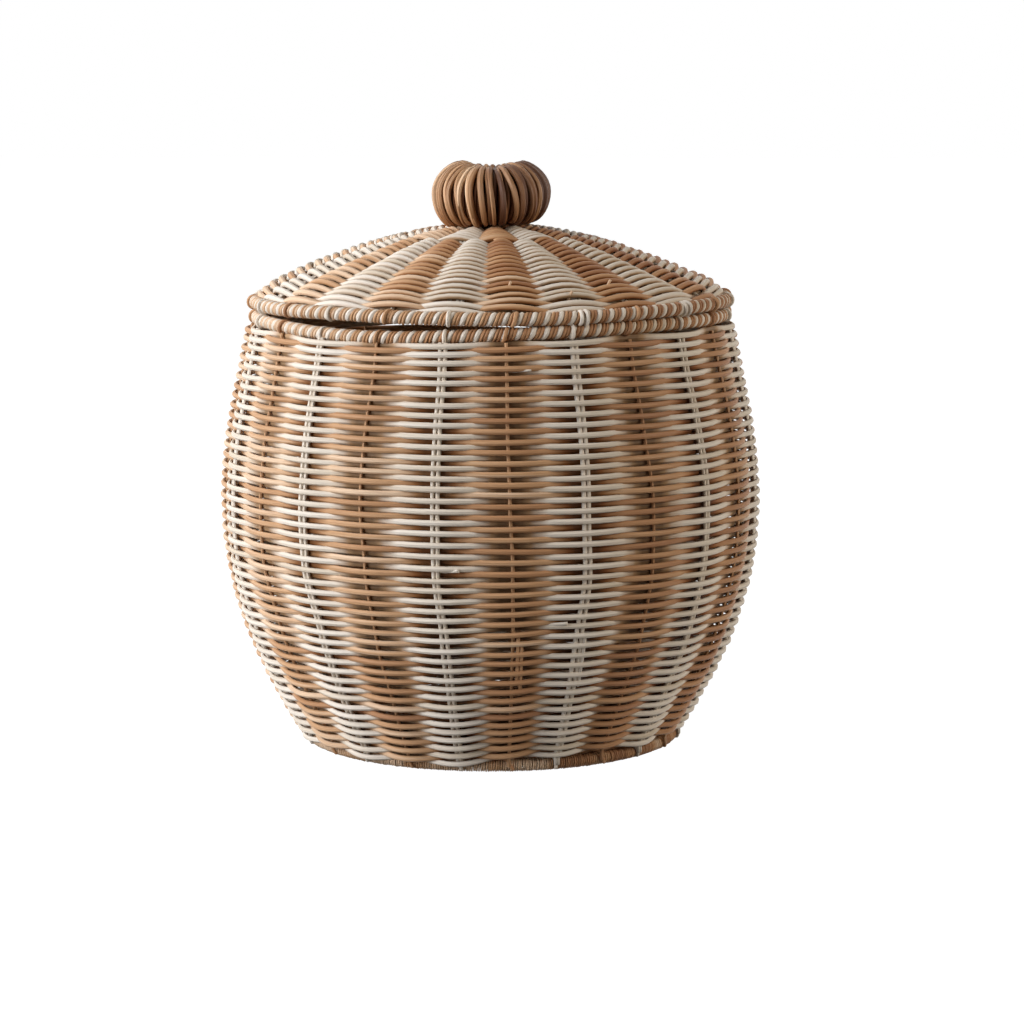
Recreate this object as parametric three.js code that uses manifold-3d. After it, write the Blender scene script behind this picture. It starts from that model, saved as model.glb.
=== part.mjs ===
// Round lidded storage basket, woven from poly rattan over upright stakes, with a lift-off lid and a knob.
// Millimetres, +Z up, origin at the centre of the foot ring's underside, front of the basket towards -Y.
import * as THREE from "three";
import { mergeVertices } from "three/addons/utils/BufferGeometryUtils.js";
import Module from "manifold-3d";

const wasm = await Module();
wasm.setup();

// Driving dimensions of the basket
const bellyRadius = 176;
const wallBase = 7;
const wallTop = 271.4;
const weaveThickness = 4.6;
const fluteDepth = 2.2;
const stakePairs = 12;
const columnCount = 2 * stakePairs;
const faceTurn = THREE.MathUtils.degToRad(3.5);
const seatGap = 0.3;
const overrun = 5;

// Stakes
const strandThickness = 2.4;
const creamStakeWidth = 4.8;
const tanStakeWidth = 2.6;
const stakeEndHeight = 1;

// Wrapped rings: the tube's own radius, the wire hoop inside it and the seam that faces the axis
const rimTubeRadius = 4.45;
const footTubeRadius = 3.5;
const hoopWireRadius = 1.7;
const footWireRadius = 1.2;
const seamHalfWidth = 0.4;
const bodyRimInset = 5.1;
const lidRimInset = 1.3;
const footTuck = 1.5;
const footFlatDepth = 0.5;

// Courses that join the columns of each colour into one body
const courseHeight = 9;
const lidCourseWidth = 8;

// Bottom
const bottomThickness = 5;
const spokeThickness = 2.6;

// Lid
const lidApexRise = 45.8;
const lidEdgeInset = 1;
const lidForkRadius = 57;
const lidFluteDepth = 1.8;
const hubRadius = 20;
const hubThickness = 4.5;
const seatRingRadius = 2.5;

// Knob
const knobRadius = 38.6;
const knobHeight = 41;
const knobEyeRadius = 12.6;
const knobPeakRadius = 19;
const knobLoops = 24;
const stepsPerLoop = 10;
const strandSides = 5;
const windingThickness = 2.4;
const windingStrandGap = 0.85;
const lashingRadius = 8.6;
const lashingHeadRadius = 11.4;
const lashingHeadHeight = 5;

// Shares of the belly radius, from the foot of the wall to its top, at even steps of height
const wallRadiusShares = [0.722, 0.839, 0.93, 0.983, 0.9995, 0.984, 0.945, 0.9];
// Shares of the lid's edge radius and of its rise
const lidRadiusShares = [0, 0.2, 0.365, 0.535, 0.69, 0.83, 0.96, 1];
const lidRiseShares = [1, 0.955, 0.865, 0.72, 0.545, 0.345, 0.115, 0];

// Facet counts
const wallRows = 6;
const facetsPerColumn = 3;
const ringFacets = 32;
const wrapSides = 8;
const boreSides = 4;
const hoopSides = 4;
const seatRingSides = 5;
const lidRows = 4;
const searchStep = 1 / 4096;

// Colours of the strands and the hidden wire
const cream = new THREE.MeshStandardMaterial({ color: 0xe1dac8, roughness: 0.55, metalness: 0 });
const tan = new THREE.MeshStandardMaterial({ color: 0xc49a70, roughness: 0.55, metalness: 0 });
const brown = new THREE.MeshStandardMaterial({ color: 0x8f6546, roughness: 0.6, metalness: 0 });
const steel = new THREE.MeshStandardMaterial({ color: 0x5a5650, roughness: 0.5, metalness: 0.8 });

const columnAngle = (2 * Math.PI) / columnCount;
const columnStep = (index) => faceTurn - Math.PI / 2 + index * columnAngle;

// A solid for joining and cutting, from a closed geometry.
function solidOf(geometry) {
  const bare = new THREE.BufferGeometry();
  const flat = geometry.index ? geometry.toNonIndexed() : geometry;
  bare.setAttribute("position", flat.getAttribute("position"));
  const merged = mergeVertices(bare, seatGap / 1000);
  const vertProperties = merged.attributes.position.array;
  const triVerts = new Uint32Array(merged.index.array);
  return new wasm.Manifold(new wasm.Mesh({ numProp: 3, vertProperties, triVerts }));
}

// The geometry of a joined or cut solid.
function geometryOf(solid) {
  const mesh = solid.getMesh();
  const geometry = new THREE.BufferGeometry();
  const points = new Float32Array(mesh.vertProperties);
  geometry.setAttribute("position", new THREE.BufferAttribute(points, mesh.numProp));
  geometry.setIndex(new THREE.BufferAttribute(new Uint32Array(mesh.triVerts), 1));
  geometry.computeVertexNormals();
  return geometry;
}

const join = (solids) => solids.reduce((sum, solid) => sum.add(solid));

// A ring whose closed section, a list of [radius, height] against the clock, may change with the angle.
function ringGeometry(sectionAt, facets) {
  const positions = [];
  const indices = [];
  const sections = Array.from({ length: facets }, (_, i) => sectionAt(i));
  const count = sections[0].length;
  sections.forEach((section, i) => {
    const angle = faceTurn - Math.PI / 2 + (2 * Math.PI * i) / facets;
    section.forEach(([r, z]) => positions.push(r * Math.cos(angle), r * Math.sin(angle), z));
  });
  for (let i = 0; i < facets; i++) {
    for (let j = 0; j < count; j++) {
      const a = i * count + j;
      const b = i * count + ((j + 1) % count);
      const c = ((i + 1) % facets) * count + j;
      const d = ((i + 1) % facets) * count + ((j + 1) % count);
      indices.push(a, c, b, b, c, d);
    }
  }
  const geometry = new THREE.BufferGeometry();
  geometry.setAttribute("position", new THREE.Float32BufferAttribute(positions, 3));
  geometry.setIndex(indices);
  geometry.computeVertexNormals();
  return geometry;
}

// A four-sided rod along a path, with its thickness along the given outward directions.
function rodGeometry(path, normals, width, thickness) {
  const positions = [];
  const indices = [];
  path.forEach((point, i) => {
    const before = path[Math.max(i - 1, 0)];
    const after = path[Math.min(i + 1, path.length - 1)];
    const tangent = after.clone().sub(before).normalize();
    const side = tangent.clone().cross(normals[i]).normalize();
    const up = side.clone().cross(tangent);
    const corners = [[1, 1], [-1, 1], [-1, -1], [1, -1]];
    corners.forEach(([s, u]) => {
      const corner = point.clone();
      corner.addScaledVector(side, (s * width) / 2);
      corner.addScaledVector(up, (u * thickness) / 2);
      positions.push(...corner.toArray());
    });
  });
  const last = (path.length - 1) * 4;
  for (let i = 0; i < last; i += 4) {
    for (let j = 0; j < 4; j++) {
      const k = (j + 1) % 4;
      indices.push(i + j, i + 4 + j, i + k, i + k, i + 4 + j, i + 4 + k);
    }
  }
  indices.push(0, 1, 2, 0, 2, 3, last, last + 2, last + 1, last, last + 3, last + 2);
  const geometry = new THREE.BufferGeometry();
  geometry.setAttribute("position", new THREE.Float32BufferAttribute(positions, 3));
  geometry.setIndex(indices);
  geometry.computeVertexNormals();
  return geometry;
}

// Sectors between neighbouring column edges, each drawn in by half the gap, as upright prisms.
function columnPrisms(first, innerRadius, outerRadius, bottom, top) {
  const prisms = [];
  for (let index = first; index < columnCount; index += 2) {
    const middle = columnStep(index);
    const corner = (radius, side) => {
      const along = middle + (side * columnAngle) / 2;
      const across = along - (side * Math.PI) / 2;
      const inset = (Math.abs(side) * seatGap) / 2;
      const x = radius * Math.cos(along) + inset * Math.cos(across);
      return new THREE.Vector2(x, radius * Math.sin(along) + inset * Math.sin(across));
    };
    const outward = [-1, 0, 1].map((side) => corner(outerRadius, side));
    const inward = [1, 0, -1].map((side) => corner(innerRadius, side));
    const outline = [...outward, ...inward];
    const extrusion = { depth: top - bottom, bevelEnabled: false };
    const prism = new THREE.ExtrudeGeometry(new THREE.Shape(outline), extrusion);
    prisms.push(solidOf(prism.translate(0, 0, bottom)));
  }
  return join(prisms);
}

// A plain ring with a rectangular section.
function bandSection(inner, outer, bottom, top) {
  return [[inner, bottom], [outer, bottom], [outer, top], [inner, top]];
}
const band = (inner, outer, bottom, top) =>
  solidOf(ringGeometry(() => bandSection(inner, outer, bottom, top), 2 * columnCount));

// The outer face of the wall as radius over height.
const wallCurve = new THREE.CatmullRomCurve3(
  wallRadiusShares.map((share, i) => {
    const height = wallBase + ((wallTop - wallBase) * i) / (wallRadiusShares.length - 1);
    return new THREE.Vector3(share * bellyRadius, 0, height);
  }),
);
const wallPoint = (share) => wallCurve.getPoint(share);

// What stands on the wall's top and foot takes its radius from the wall.
const stakeInset = weaveThickness + seatGap + strandThickness / 2;
const bodyRimRadius = wallPoint(1).x - bodyRimInset;
const lidRimRadius = bodyRimRadius - lidRimInset;
const lidEdgeRadius = lidRimRadius - lidEdgeInset;
const footStakeRadius = wallPoint(0).x - stakeInset - footTuck;
const footRingRadius = footStakeRadius - strandThickness / 2 - seatGap - footTubeRadius;

// The outer face of the lid as radius over height.
const lidRimHeight = wallTop + 2 * seatGap + 3 * rimTubeRadius;
const lidBase = lidRimHeight + rimTubeRadius + seatGap;
const lidCurve = new THREE.CatmullRomCurve3(
  lidRadiusShares.map((share, i) => {
    return new THREE.Vector3(share * lidEdgeRadius, 0, lidBase + lidRiseShares[i] * lidApexRise);
  }),
);
function lidHeightAt(radius) {
  let low = 0;
  let high = 1;
  while (high - low > searchStep) {
    const middle = (low + high) / 2;
    if (lidCurve.getPoint(middle).x < radius) low = middle;
    else high = middle;
  }
  return lidCurve.getPoint(low).z;
}

// The lid's underside, row by row, and its height at any radius between them.
const lidEyeRadius = hubRadius + seatGap;
const lidUnderRows = Array.from({ length: lidRows + 1 }, (_, row) => {
  const radius = lidEyeRadius + ((lidEdgeRadius - lidEyeRadius) * row) / lidRows;
  return [radius, Math.max(lidHeightAt(radius) - weaveThickness, lidBase)];
});
function lidUnderAt(radius) {
  const next = Math.max(lidUnderRows.findIndex(([reach]) => reach >= radius), 1);
  const [r0, z0] = lidUnderRows[next - 1];
  const [r1, z1] = lidUnderRows[next];
  return z0 + ((z1 - z0) * (radius - r0)) / (r1 - r0);
}

// How far a facet edge stands out, from 0 in the groove between two columns to 1 over the stake.
const fluteRise = (facet) => (((facet + 0.5) / facetsPerColumn + 0.5) % 1 < 1 / facetsPerColumn ? 0 : 1);

const nodes = [];
function addPiece(name, geometry, material) {
  const mesh = new THREE.Mesh(geometry, material);
  mesh.name = name;
  nodes.push(mesh);
  return mesh;
}

// Stakes run up behind the weavers that pass outside them, and their lower ends lie over the foot ring.
const radialAt = (angle) => new THREE.Vector3(Math.cos(angle), Math.sin(angle), 0);
function stakePath(angle) {
  const radial = radialAt(angle);
  const path = [radial.clone().multiplyScalar(footStakeRadius).setZ(stakeEndHeight)];
  for (let row = 0; row <= wallRows; row++) {
    const point = wallPoint(row / wallRows);
    path.push(radial.clone().multiplyScalar(point.x - stakeInset).setZ(point.z));
  }
  return path;
}

function buildStakes() {
  for (let index = 0; index < columnCount; index++) {
    const angle = columnStep(index);
    const isTan = index % 2 === 0;
    const path = stakePath(angle);
    const normals = path.map(() => radialAt(angle));
    const width = isTan ? tanStakeWidth : creamStakeWidth;
    const rod = rodGeometry(path, normals, width, strandThickness);
    const number = String(Math.floor(index / 2) + 1).padStart(2, "0");
    addPiece((isTan ? "tan_stake_" : "cream_stake_") + number, rod, isTan ? tan : cream);
  }
}

// The wall's two weavers: cream columns hang from a top course, tan columns stand on a bottom course.
function buildWall() {
  const section = (facet) => {
    const groove = fluteDepth * (1 - fluteRise(facet));
    const outer = [];
    const inner = [];
    for (let row = 0; row <= wallRows; row++) {
      const point = wallPoint(row / wallRows);
      outer.push([point.x - groove, point.z]);
      inner.push([point.x - weaveThickness, point.z]);
    }
    return [...outer, ...inner.reverse()];
  };
  const wall = solidOf(ringGeometry(section, columnCount * facetsPerColumn));
  const innerCut = footRingRadius / 2;
  const outerCut = bellyRadius + overrun;
  const courseTop = wallBase + courseHeight;
  const courseFoot = wallTop - courseHeight;
  const creamCut = columnPrisms(1, innerCut, outerCut, courseTop + seatGap, wallTop + overrun);
  const tanCut = columnPrisms(0, innerCut, outerCut, wallBase - overrun, courseFoot - seatGap);
  const topCourse = band(innerCut, outerCut, courseFoot, wallTop + overrun);
  const bottomCourse = band(innerCut, outerCut, wallBase - overrun, courseTop);
  addPiece("wall_cream_weavers", geometryOf(wall.intersect(creamCut.add(topCourse))), cream);
  addPiece("wall_tan_weavers", geometryOf(wall.intersect(tanCut.add(bottomCourse))), tan);
}

// A tube with a bore for its wire hoop and a seam towards the axis, and the hoop itself.
function buildWrappedRing(names, radius, height, tubeRadius, wireRadius, flatDepth, material) {
  const boreRadius = wireRadius + seatGap;
  const outer = [];
  for (let i = 0; i < wrapSides; i++) {
    const turn = -Math.PI + ((i + 0.5) * 2 * Math.PI) / wrapSides;
    const reach = tubeRadius / Math.cos(Math.PI / wrapSides);
    const fall = Math.max(reach * Math.sin(turn), flatDepth - tubeRadius);
    outer.push([radius + reach * Math.cos(turn), height + fall]);
  }
  const bore = [];
  const boreReach = boreRadius / Math.cos(Math.PI / boreSides);
  for (let i = 0; i < boreSides; i++) {
    const turn = Math.PI - ((i + 0.5) * 2 * Math.PI) / boreSides;
    bore.push([radius + boreReach * Math.cos(turn), height + boreReach * Math.sin(turn)]);
  }
  const seamOut = radius - tubeRadius;
  const seamIn = radius - boreRadius;
  const section = [
    [seamOut, height - seamHalfWidth],
    ...outer,
    [seamOut, height + seamHalfWidth],
    [seamIn, height + seamHalfWidth],
    ...bore,
    [seamIn, height - seamHalfWidth],
  ];
  addPiece(names.wrap, ringGeometry(() => section, ringFacets), material);
  const wire = roundSection(radius, height, wireRadius, hoopSides);
  addPiece(names.hoop, ringGeometry(() => wire, ringFacets), steel);
}

// A round section as a polygon that touches the circle with its sides.
function roundSection(radius, height, tubeRadius, sides) {
  return Array.from({ length: sides }, (_, i) => {
    const turn = ((i + 0.5) * 2 * Math.PI) / sides;
    return [radius + tubeRadius * Math.cos(turn), height + tubeRadius * Math.sin(turn)];
  });
}

// The woven bottom lies on the foot ring inside the wall, over its crossing spokes.
function buildBottom() {
  const radius = footRingRadius + footTubeRadius;
  const base = wallBase + seatGap;
  const profile = [[0, base], [radius, base], [radius, base + bottomThickness], [0, base + bottomThickness]];
  const disc = new THREE.LatheGeometry(profile.map((p) => new THREE.Vector2(...p)), ringFacets);
  addPiece("bottom_weave", geometryOf(solidOf(disc.rotateX(Math.PI / 2))), tan);
  const reach = footRingRadius - footTubeRadius - 2 * seatGap;
  const rods = [];
  for (let i = 0; i < stakePairs / 2; i++) {
    const angle = (i * Math.PI) / (stakePairs / 2);
    const rod = new THREE.BoxGeometry(2 * reach, tanStakeWidth, spokeThickness);
    rods.push(solidOf(rod.rotateZ(angle).translate(0, 0, wallBase - spokeThickness / 2)));
  }
  addPiece("bottom_spokes", geometryOf(join(rods)), tan);
}

// The lid's spokes leave the hub under the tan columns, and each sends a branch under the cream
// column beside it where the columns double.
const spokeDropShare = 0.55;
const spokeDrop = seatGap + spokeThickness * spokeDropShare;
function lidPath(radii, angles) {
  return radii.map((radius, i) => {
    return radialAt(angles[i]).multiplyScalar(radius).setZ(lidUnderAt(radius) - spokeDrop);
  });
}
const forkEndShare = 1.17;
function buildLidSpokes() {
  const reach = lidEdgeRadius - spokeThickness;
  const up = new THREE.Vector3(0, 0, 1);
  const forkEnd = lidForkRadius * forkEndShare;
  const stemRadii = [hubRadius + seatGap, (hubRadius + lidForkRadius) / 2, lidForkRadius];
  const outward = [0, 1, 2, 3].map((step) => forkEnd + ((reach - forkEnd) * step) / 3);
  const branchRadii = [lidForkRadius - spokeThickness / 2, ...outward];
  for (let pair = 0; pair < stakePairs; pair++) {
    const straight = columnStep(2 * pair);
    const stem = lidPath(stemRadii, stemRadii.map(() => straight));
    const rods = [solidOf(rodGeometry(stem, stem.map(() => up), creamStakeWidth, spokeThickness))];
    for (const angle of [straight, straight + columnAngle]) {
      const path = lidPath(branchRadii, branchRadii.map((_, i) => (i === 0 ? straight : angle)));
      rods.push(solidOf(rodGeometry(path, path.map(() => up), tanStakeWidth, spokeThickness)));
    }
    const number = String(pair + 1).padStart(2, "0");
    addPiece("lid_spoke_pair_" + number, geometryOf(join(rods)), cream);
  }
}

// The lid's two weavers: tan fills the middle and twelve columns, cream the rest and the edge course.
function buildLidWeave() {
  const section = (facet) => {
    const top = [];
    const under = [];
    for (let row = 0; row <= lidRows; row++) {
      const [radius, underHeight] = lidUnderRows[row];
      const fanned = Math.min(Math.max((radius - lidForkRadius) / lidForkRadius, 0), 1);
      const height = Math.max(lidHeightAt(radius), lidBase + weaveThickness / 2);
      top.push([radius, height - lidFluteDepth * fanned * (facet % 2)]);
      under.push([radius, underHeight]);
    }
    return [...under, ...top.reverse()];
  };
  const weave = solidOf(ringGeometry(section, 2 * columnCount));
  const lowest = lidBase - overrun;
  const highest = lidBase + lidApexRise + overrun;
  const middleOuter = lidForkRadius + seatGap;
  const courseInner = lidEdgeRadius - lidCourseWidth;
  const beyond = lidEdgeRadius + overrun;
  const tanCut = columnPrisms(0, middleOuter - overrun, courseInner - seatGap, lowest, highest);
  const creamCut = columnPrisms(1, middleOuter + seatGap, courseInner + overrun, lowest, highest);
  const middle = band(hubRadius / 2, middleOuter, lowest, highest);
  const course = band(courseInner, beyond, lowest, highest);
  addPiece("lid_cream_weavers", geometryOf(weave.intersect(creamCut.add(course))), cream);
  addPiece("lid_tan_weavers", geometryOf(weave.intersect(tanCut.add(middle))), tan);
}

// The hub that the spokes are tied to, with the eye that the knob's lashing goes through.
const hubTop = lidHeightAt(hubRadius);
function buildHub() {
  const eye = lashingRadius + seatGap;
  const section = bandSection(eye, hubRadius, hubTop - hubThickness, hubTop);
  addPiece("lid_hub", ringGeometry(() => section, columnCount), tan);
}

// The thin ring under the lid's rim that finds the mouth of the basket.
function buildSeatRing() {
  const reach = (rimTubeRadius + seatRingRadius + seatGap) * Math.SQRT1_2;
  const radius = lidRimRadius - reach;
  const section = roundSection(radius, lidRimHeight - reach, seatRingRadius, seatRingSides);
  addPiece("lid_seat_ring", ringGeometry(() => section, ringFacets), cream);
}

// The knob's section: a closed loop from the eye over the peak and the widest part to the underside.
const knobBase = hubTop + seatGap + windingThickness / 2;
const knobLoopHeight = knobHeight - windingThickness;
const knobLoopRadius = knobRadius - windingThickness / 2;
const undersideShare = 0.75;
function knobSectionPoint(share) {
  const turn = 2 * Math.PI * share;
  const middle = (knobEyeRadius + knobLoopRadius) / 2;
  const halfWidth = (knobLoopRadius - knobEyeRadius) / 2;
  const lean = (middle - knobPeakRadius) * Math.max(Math.sin(turn), 0) ** 2;
  const height = knobBase + (knobLoopHeight / 2) * (1 + Math.sin(turn));
  return new THREE.Vector2(middle + halfWidth * Math.cos(turn) - lean, height);
}
function knobSectionNormal(share) {
  const step = 1 / (2 * stepsPerLoop);
  const along = knobSectionPoint(share + step).sub(knobSectionPoint(share - step)).normalize();
  return new THREE.Vector2(along.y, -along.x);
}

// One unbroken strand wound through the eye, wider where the loops fan out on the rim of the knob.
function buildWinding() {
  const steps = knobLoops * stepsPerLoop - 2;
  const rings = [];
  for (let i = 0; i <= steps; i++) {
    const share = undersideShare + i / stepsPerLoop;
    const angle = (2 * Math.PI * i) / (knobLoops * stepsPerLoop);
    const point = knobSectionPoint(share);
    const normal = knobSectionNormal(share);
    const radial = radialAt(angle);
    const centre = radial.clone().multiplyScalar(point.x).setZ(point.y);
    const out = radial.clone().multiplyScalar(normal.x).setZ(normal.y);
    const across = radialAt(angle + Math.PI / 2);
    const halfWidth = ((2 * Math.PI * point.x) / knobLoops - windingStrandGap) / 2;
    const ring = [];
    for (let side = 0; side < strandSides; side++) {
      const turn = Math.PI / 2 + (2 * Math.PI * side) / strandSides;
      const corner = centre.clone();
      corner.addScaledVector(across, halfWidth * Math.cos(turn));
      corner.addScaledVector(out, (windingThickness / 2) * Math.sin(turn));
      ring.push(corner);
    }
    rings.push(ring);
  }
  const positions = rings.flatMap((ring) => ring.flatMap((corner) => corner.toArray()));
  const indices = [];
  for (let i = 0; i < steps; i++) {
    for (let j = 0; j < strandSides; j++) {
      const a = i * strandSides + j;
      const b = i * strandSides + ((j + 1) % strandSides);
      indices.push(a, a + strandSides, b, b, a + strandSides, b + strandSides);
    }
  }
  const last = steps * strandSides;
  for (let j = 1; j < strandSides - 1; j++) {
    indices.push(0, j, j + 1, last, last + j + 1, last + j);
  }
  const geometry = new THREE.BufferGeometry();
  geometry.setAttribute("position", new THREE.Float32BufferAttribute(positions, 3));
  geometry.setIndex(indices);
  geometry.computeVertexNormals();
  let least = Infinity;
  rings.forEach((ring, i) => {
    rings.slice(i + stepsPerLoop / 2).forEach((other) => {
      ring.forEach((p) => other.forEach((q) => (least = Math.min(least, p.distanceTo(q)))));
    });
  });
  console.log("knob_winding: least gap to itself on points " + least.toFixed(2) + " mm");
  addPiece("knob_winding", geometry, brown);
}

// The core ring inside the winding follows the same section, one seat gap in.
function buildKnobCore() {
  const inset = windingThickness / 2 + 2 * seatGap;
  const section = Array.from({ length: stepsPerLoop }, (_, i) => {
    const share = undersideShare + i / stepsPerLoop;
    const point = knobSectionPoint(share).addScaledVector(knobSectionNormal(share), -inset);
    return [point.x, point.y];
  });
  addPiece("knob_core", ringGeometry(() => section, columnCount), brown);
}

// The lashing: a knot under the hub, a shank through the eye and a head in the dip on top.
function buildLashing() {
  const under = hubTop - hubThickness - seatGap;
  const headTop = knobBase + knobLoopHeight - lashingHeadHeight / 2;
  const profile = [
    [0, under - lashingHeadHeight],
    [lashingHeadRadius, under - lashingHeadHeight],
    [lashingHeadRadius, under],
    [lashingRadius, under],
    [lashingRadius, headTop - lashingHeadHeight],
    [lashingHeadRadius, headTop - lashingHeadHeight / 2],
    [lashingRadius, headTop],
    [0, headTop],
  ];
  const outline = profile.map((p) => new THREE.Vector2(...p));
  const lathe = new THREE.LatheGeometry(outline, stakePairs).rotateX(Math.PI / 2);
  addPiece("knob_lashing", geometryOf(solidOf(lathe)), brown);
}

buildStakes();
buildWall();
const bodyRimHeight = wallTop + seatGap + rimTubeRadius;
const bodyRimNames = { wrap: "body_rim_wrap", hoop: "body_rim_hoop" };
buildWrappedRing(bodyRimNames, bodyRimRadius, bodyRimHeight, rimTubeRadius, hoopWireRadius, 0, tan);
const footNames = { wrap: "foot_wrap", hoop: "foot_hoop" };
const footHeight = footTubeRadius - footFlatDepth;
buildWrappedRing(footNames, footRingRadius, footHeight, footTubeRadius, footWireRadius, footFlatDepth, tan);
buildBottom();
const bodyPieces = nodes.splice(0);

buildLidSpokes();
buildLidWeave();
const lidRimNames = { wrap: "lid_rim_wrap", hoop: "lid_rim_hoop" };
buildWrappedRing(lidRimNames, lidRimRadius, lidRimHeight, rimTubeRadius, hoopWireRadius, 0, cream);
buildHub();
buildSeatRing();
buildWinding();
buildKnobCore();
buildLashing();
const lidPieces = nodes.splice(0);

const basket = new THREE.Group();
basket.add(...bodyPieces);
const lid = new THREE.Group();
lid.add(...lidPieces);
const group = new THREE.Group();
group.add(basket, lid);

export default group;
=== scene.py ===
"""Round lidded storage basket, woven from cream and tan poly rattan, with a wound knob.

Every strand is laid as a tube along its own course: the wall's two weavers pass in and out of
twenty-four upright stakes, the lid's two weavers spiral over its spokes, and the rims, the foot
and the knob are wound. Sizes are in millimetres until a piece becomes a mesh, in metres. Angles
are in radians round the upright axis, azimuths in degrees from the front, positive to the right.
"""

import logging
import math
from collections.abc import Sequence
from dataclasses import dataclass, field, replace
from enum import Enum
from functools import cache

import bmesh
import bpy
import numpy as np
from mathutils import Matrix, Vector


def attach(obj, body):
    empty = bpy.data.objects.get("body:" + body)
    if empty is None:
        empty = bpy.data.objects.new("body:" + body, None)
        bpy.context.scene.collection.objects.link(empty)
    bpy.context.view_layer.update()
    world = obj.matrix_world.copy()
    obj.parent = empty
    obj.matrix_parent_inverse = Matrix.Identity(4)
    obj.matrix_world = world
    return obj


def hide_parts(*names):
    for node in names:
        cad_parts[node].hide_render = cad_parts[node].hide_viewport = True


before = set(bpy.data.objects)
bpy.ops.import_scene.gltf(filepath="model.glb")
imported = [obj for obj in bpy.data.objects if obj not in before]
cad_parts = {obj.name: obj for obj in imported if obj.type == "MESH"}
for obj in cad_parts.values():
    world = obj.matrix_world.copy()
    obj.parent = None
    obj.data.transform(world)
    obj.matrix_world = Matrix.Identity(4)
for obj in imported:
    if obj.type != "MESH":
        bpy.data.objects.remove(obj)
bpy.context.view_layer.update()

log = logging.getLogger("basket")

Colour = tuple[int, int, int]
Triple = tuple[float, float, float]

METRE = 0.001
TURN = 2 * math.pi
STAKES = 24
STAKE_STEP = TURN / STAKES
FACE_TURN = math.radians(3.5)  # how far right of the middle the front stake stands
LID_TURN = math.radians(2.1)  # how far the lid's weave is turned against the wall's
SEAM = math.pi / 2  # the back, where the spirals start
LEFT_PAINTED_LIGHT = 0.3  # painted light: how much paler tan is painted on the left, where the key lamp shines, than in front


class Body(Enum):
    """The two bodies that move against each other."""

    BASKET = "basket"
    LID = "lid"


class Slot(Enum):
    """The record's material slots."""

    CREAM = "cream_rattan"
    TAN = "tan_rattan"
    BROWN = "brown_rattan"
    WIRE = "hoop_wire"


# Shader maths


class Value:
    """A number socket that Python's operators work on."""

    def __init__(self, graph: "Graph", socket: bpy.types.NodeSocket) -> None:
        """Wraps a socket of a graph."""
        self.graph = graph
        self.socket = socket

    def _math(self, operation: str, *inputs: object) -> "Value":
        """Adds a Math node.

        Args:
            operation: The node's operation.
            inputs: Its one or two inputs.

        Returns:
            The node's result.
        """
        node = self.graph.node("ShaderNodeMath", dict(enumerate(inputs)), operation=operation)
        return Value(self.graph, node.outputs[0])

    def __add__(self, other: object) -> "Value":
        """Returns the sum."""
        return self._math("ADD", self, other)

    def __sub__(self, other: object) -> "Value":
        """Returns the difference."""
        return self._math("SUBTRACT", self, other)

    def __mul__(self, other: object) -> "Value":
        """Returns the product."""
        return self._math("MULTIPLY", self, other)

    def sine(self) -> "Value":
        """Returns the sine."""
        return self._math("SINE", self)

    def angle_from(self, other: "Value") -> "Value":
        """Returns the angle whose sine is this value and whose cosine is the other."""
        return self._math("ARCTAN2", self, other)

    def clamped(self) -> "Value":
        """Returns the value held between 0 and 1."""
        return self._math("MAXIMUM", self._math("MINIMUM", self, 1.0), 0.0)


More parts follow.
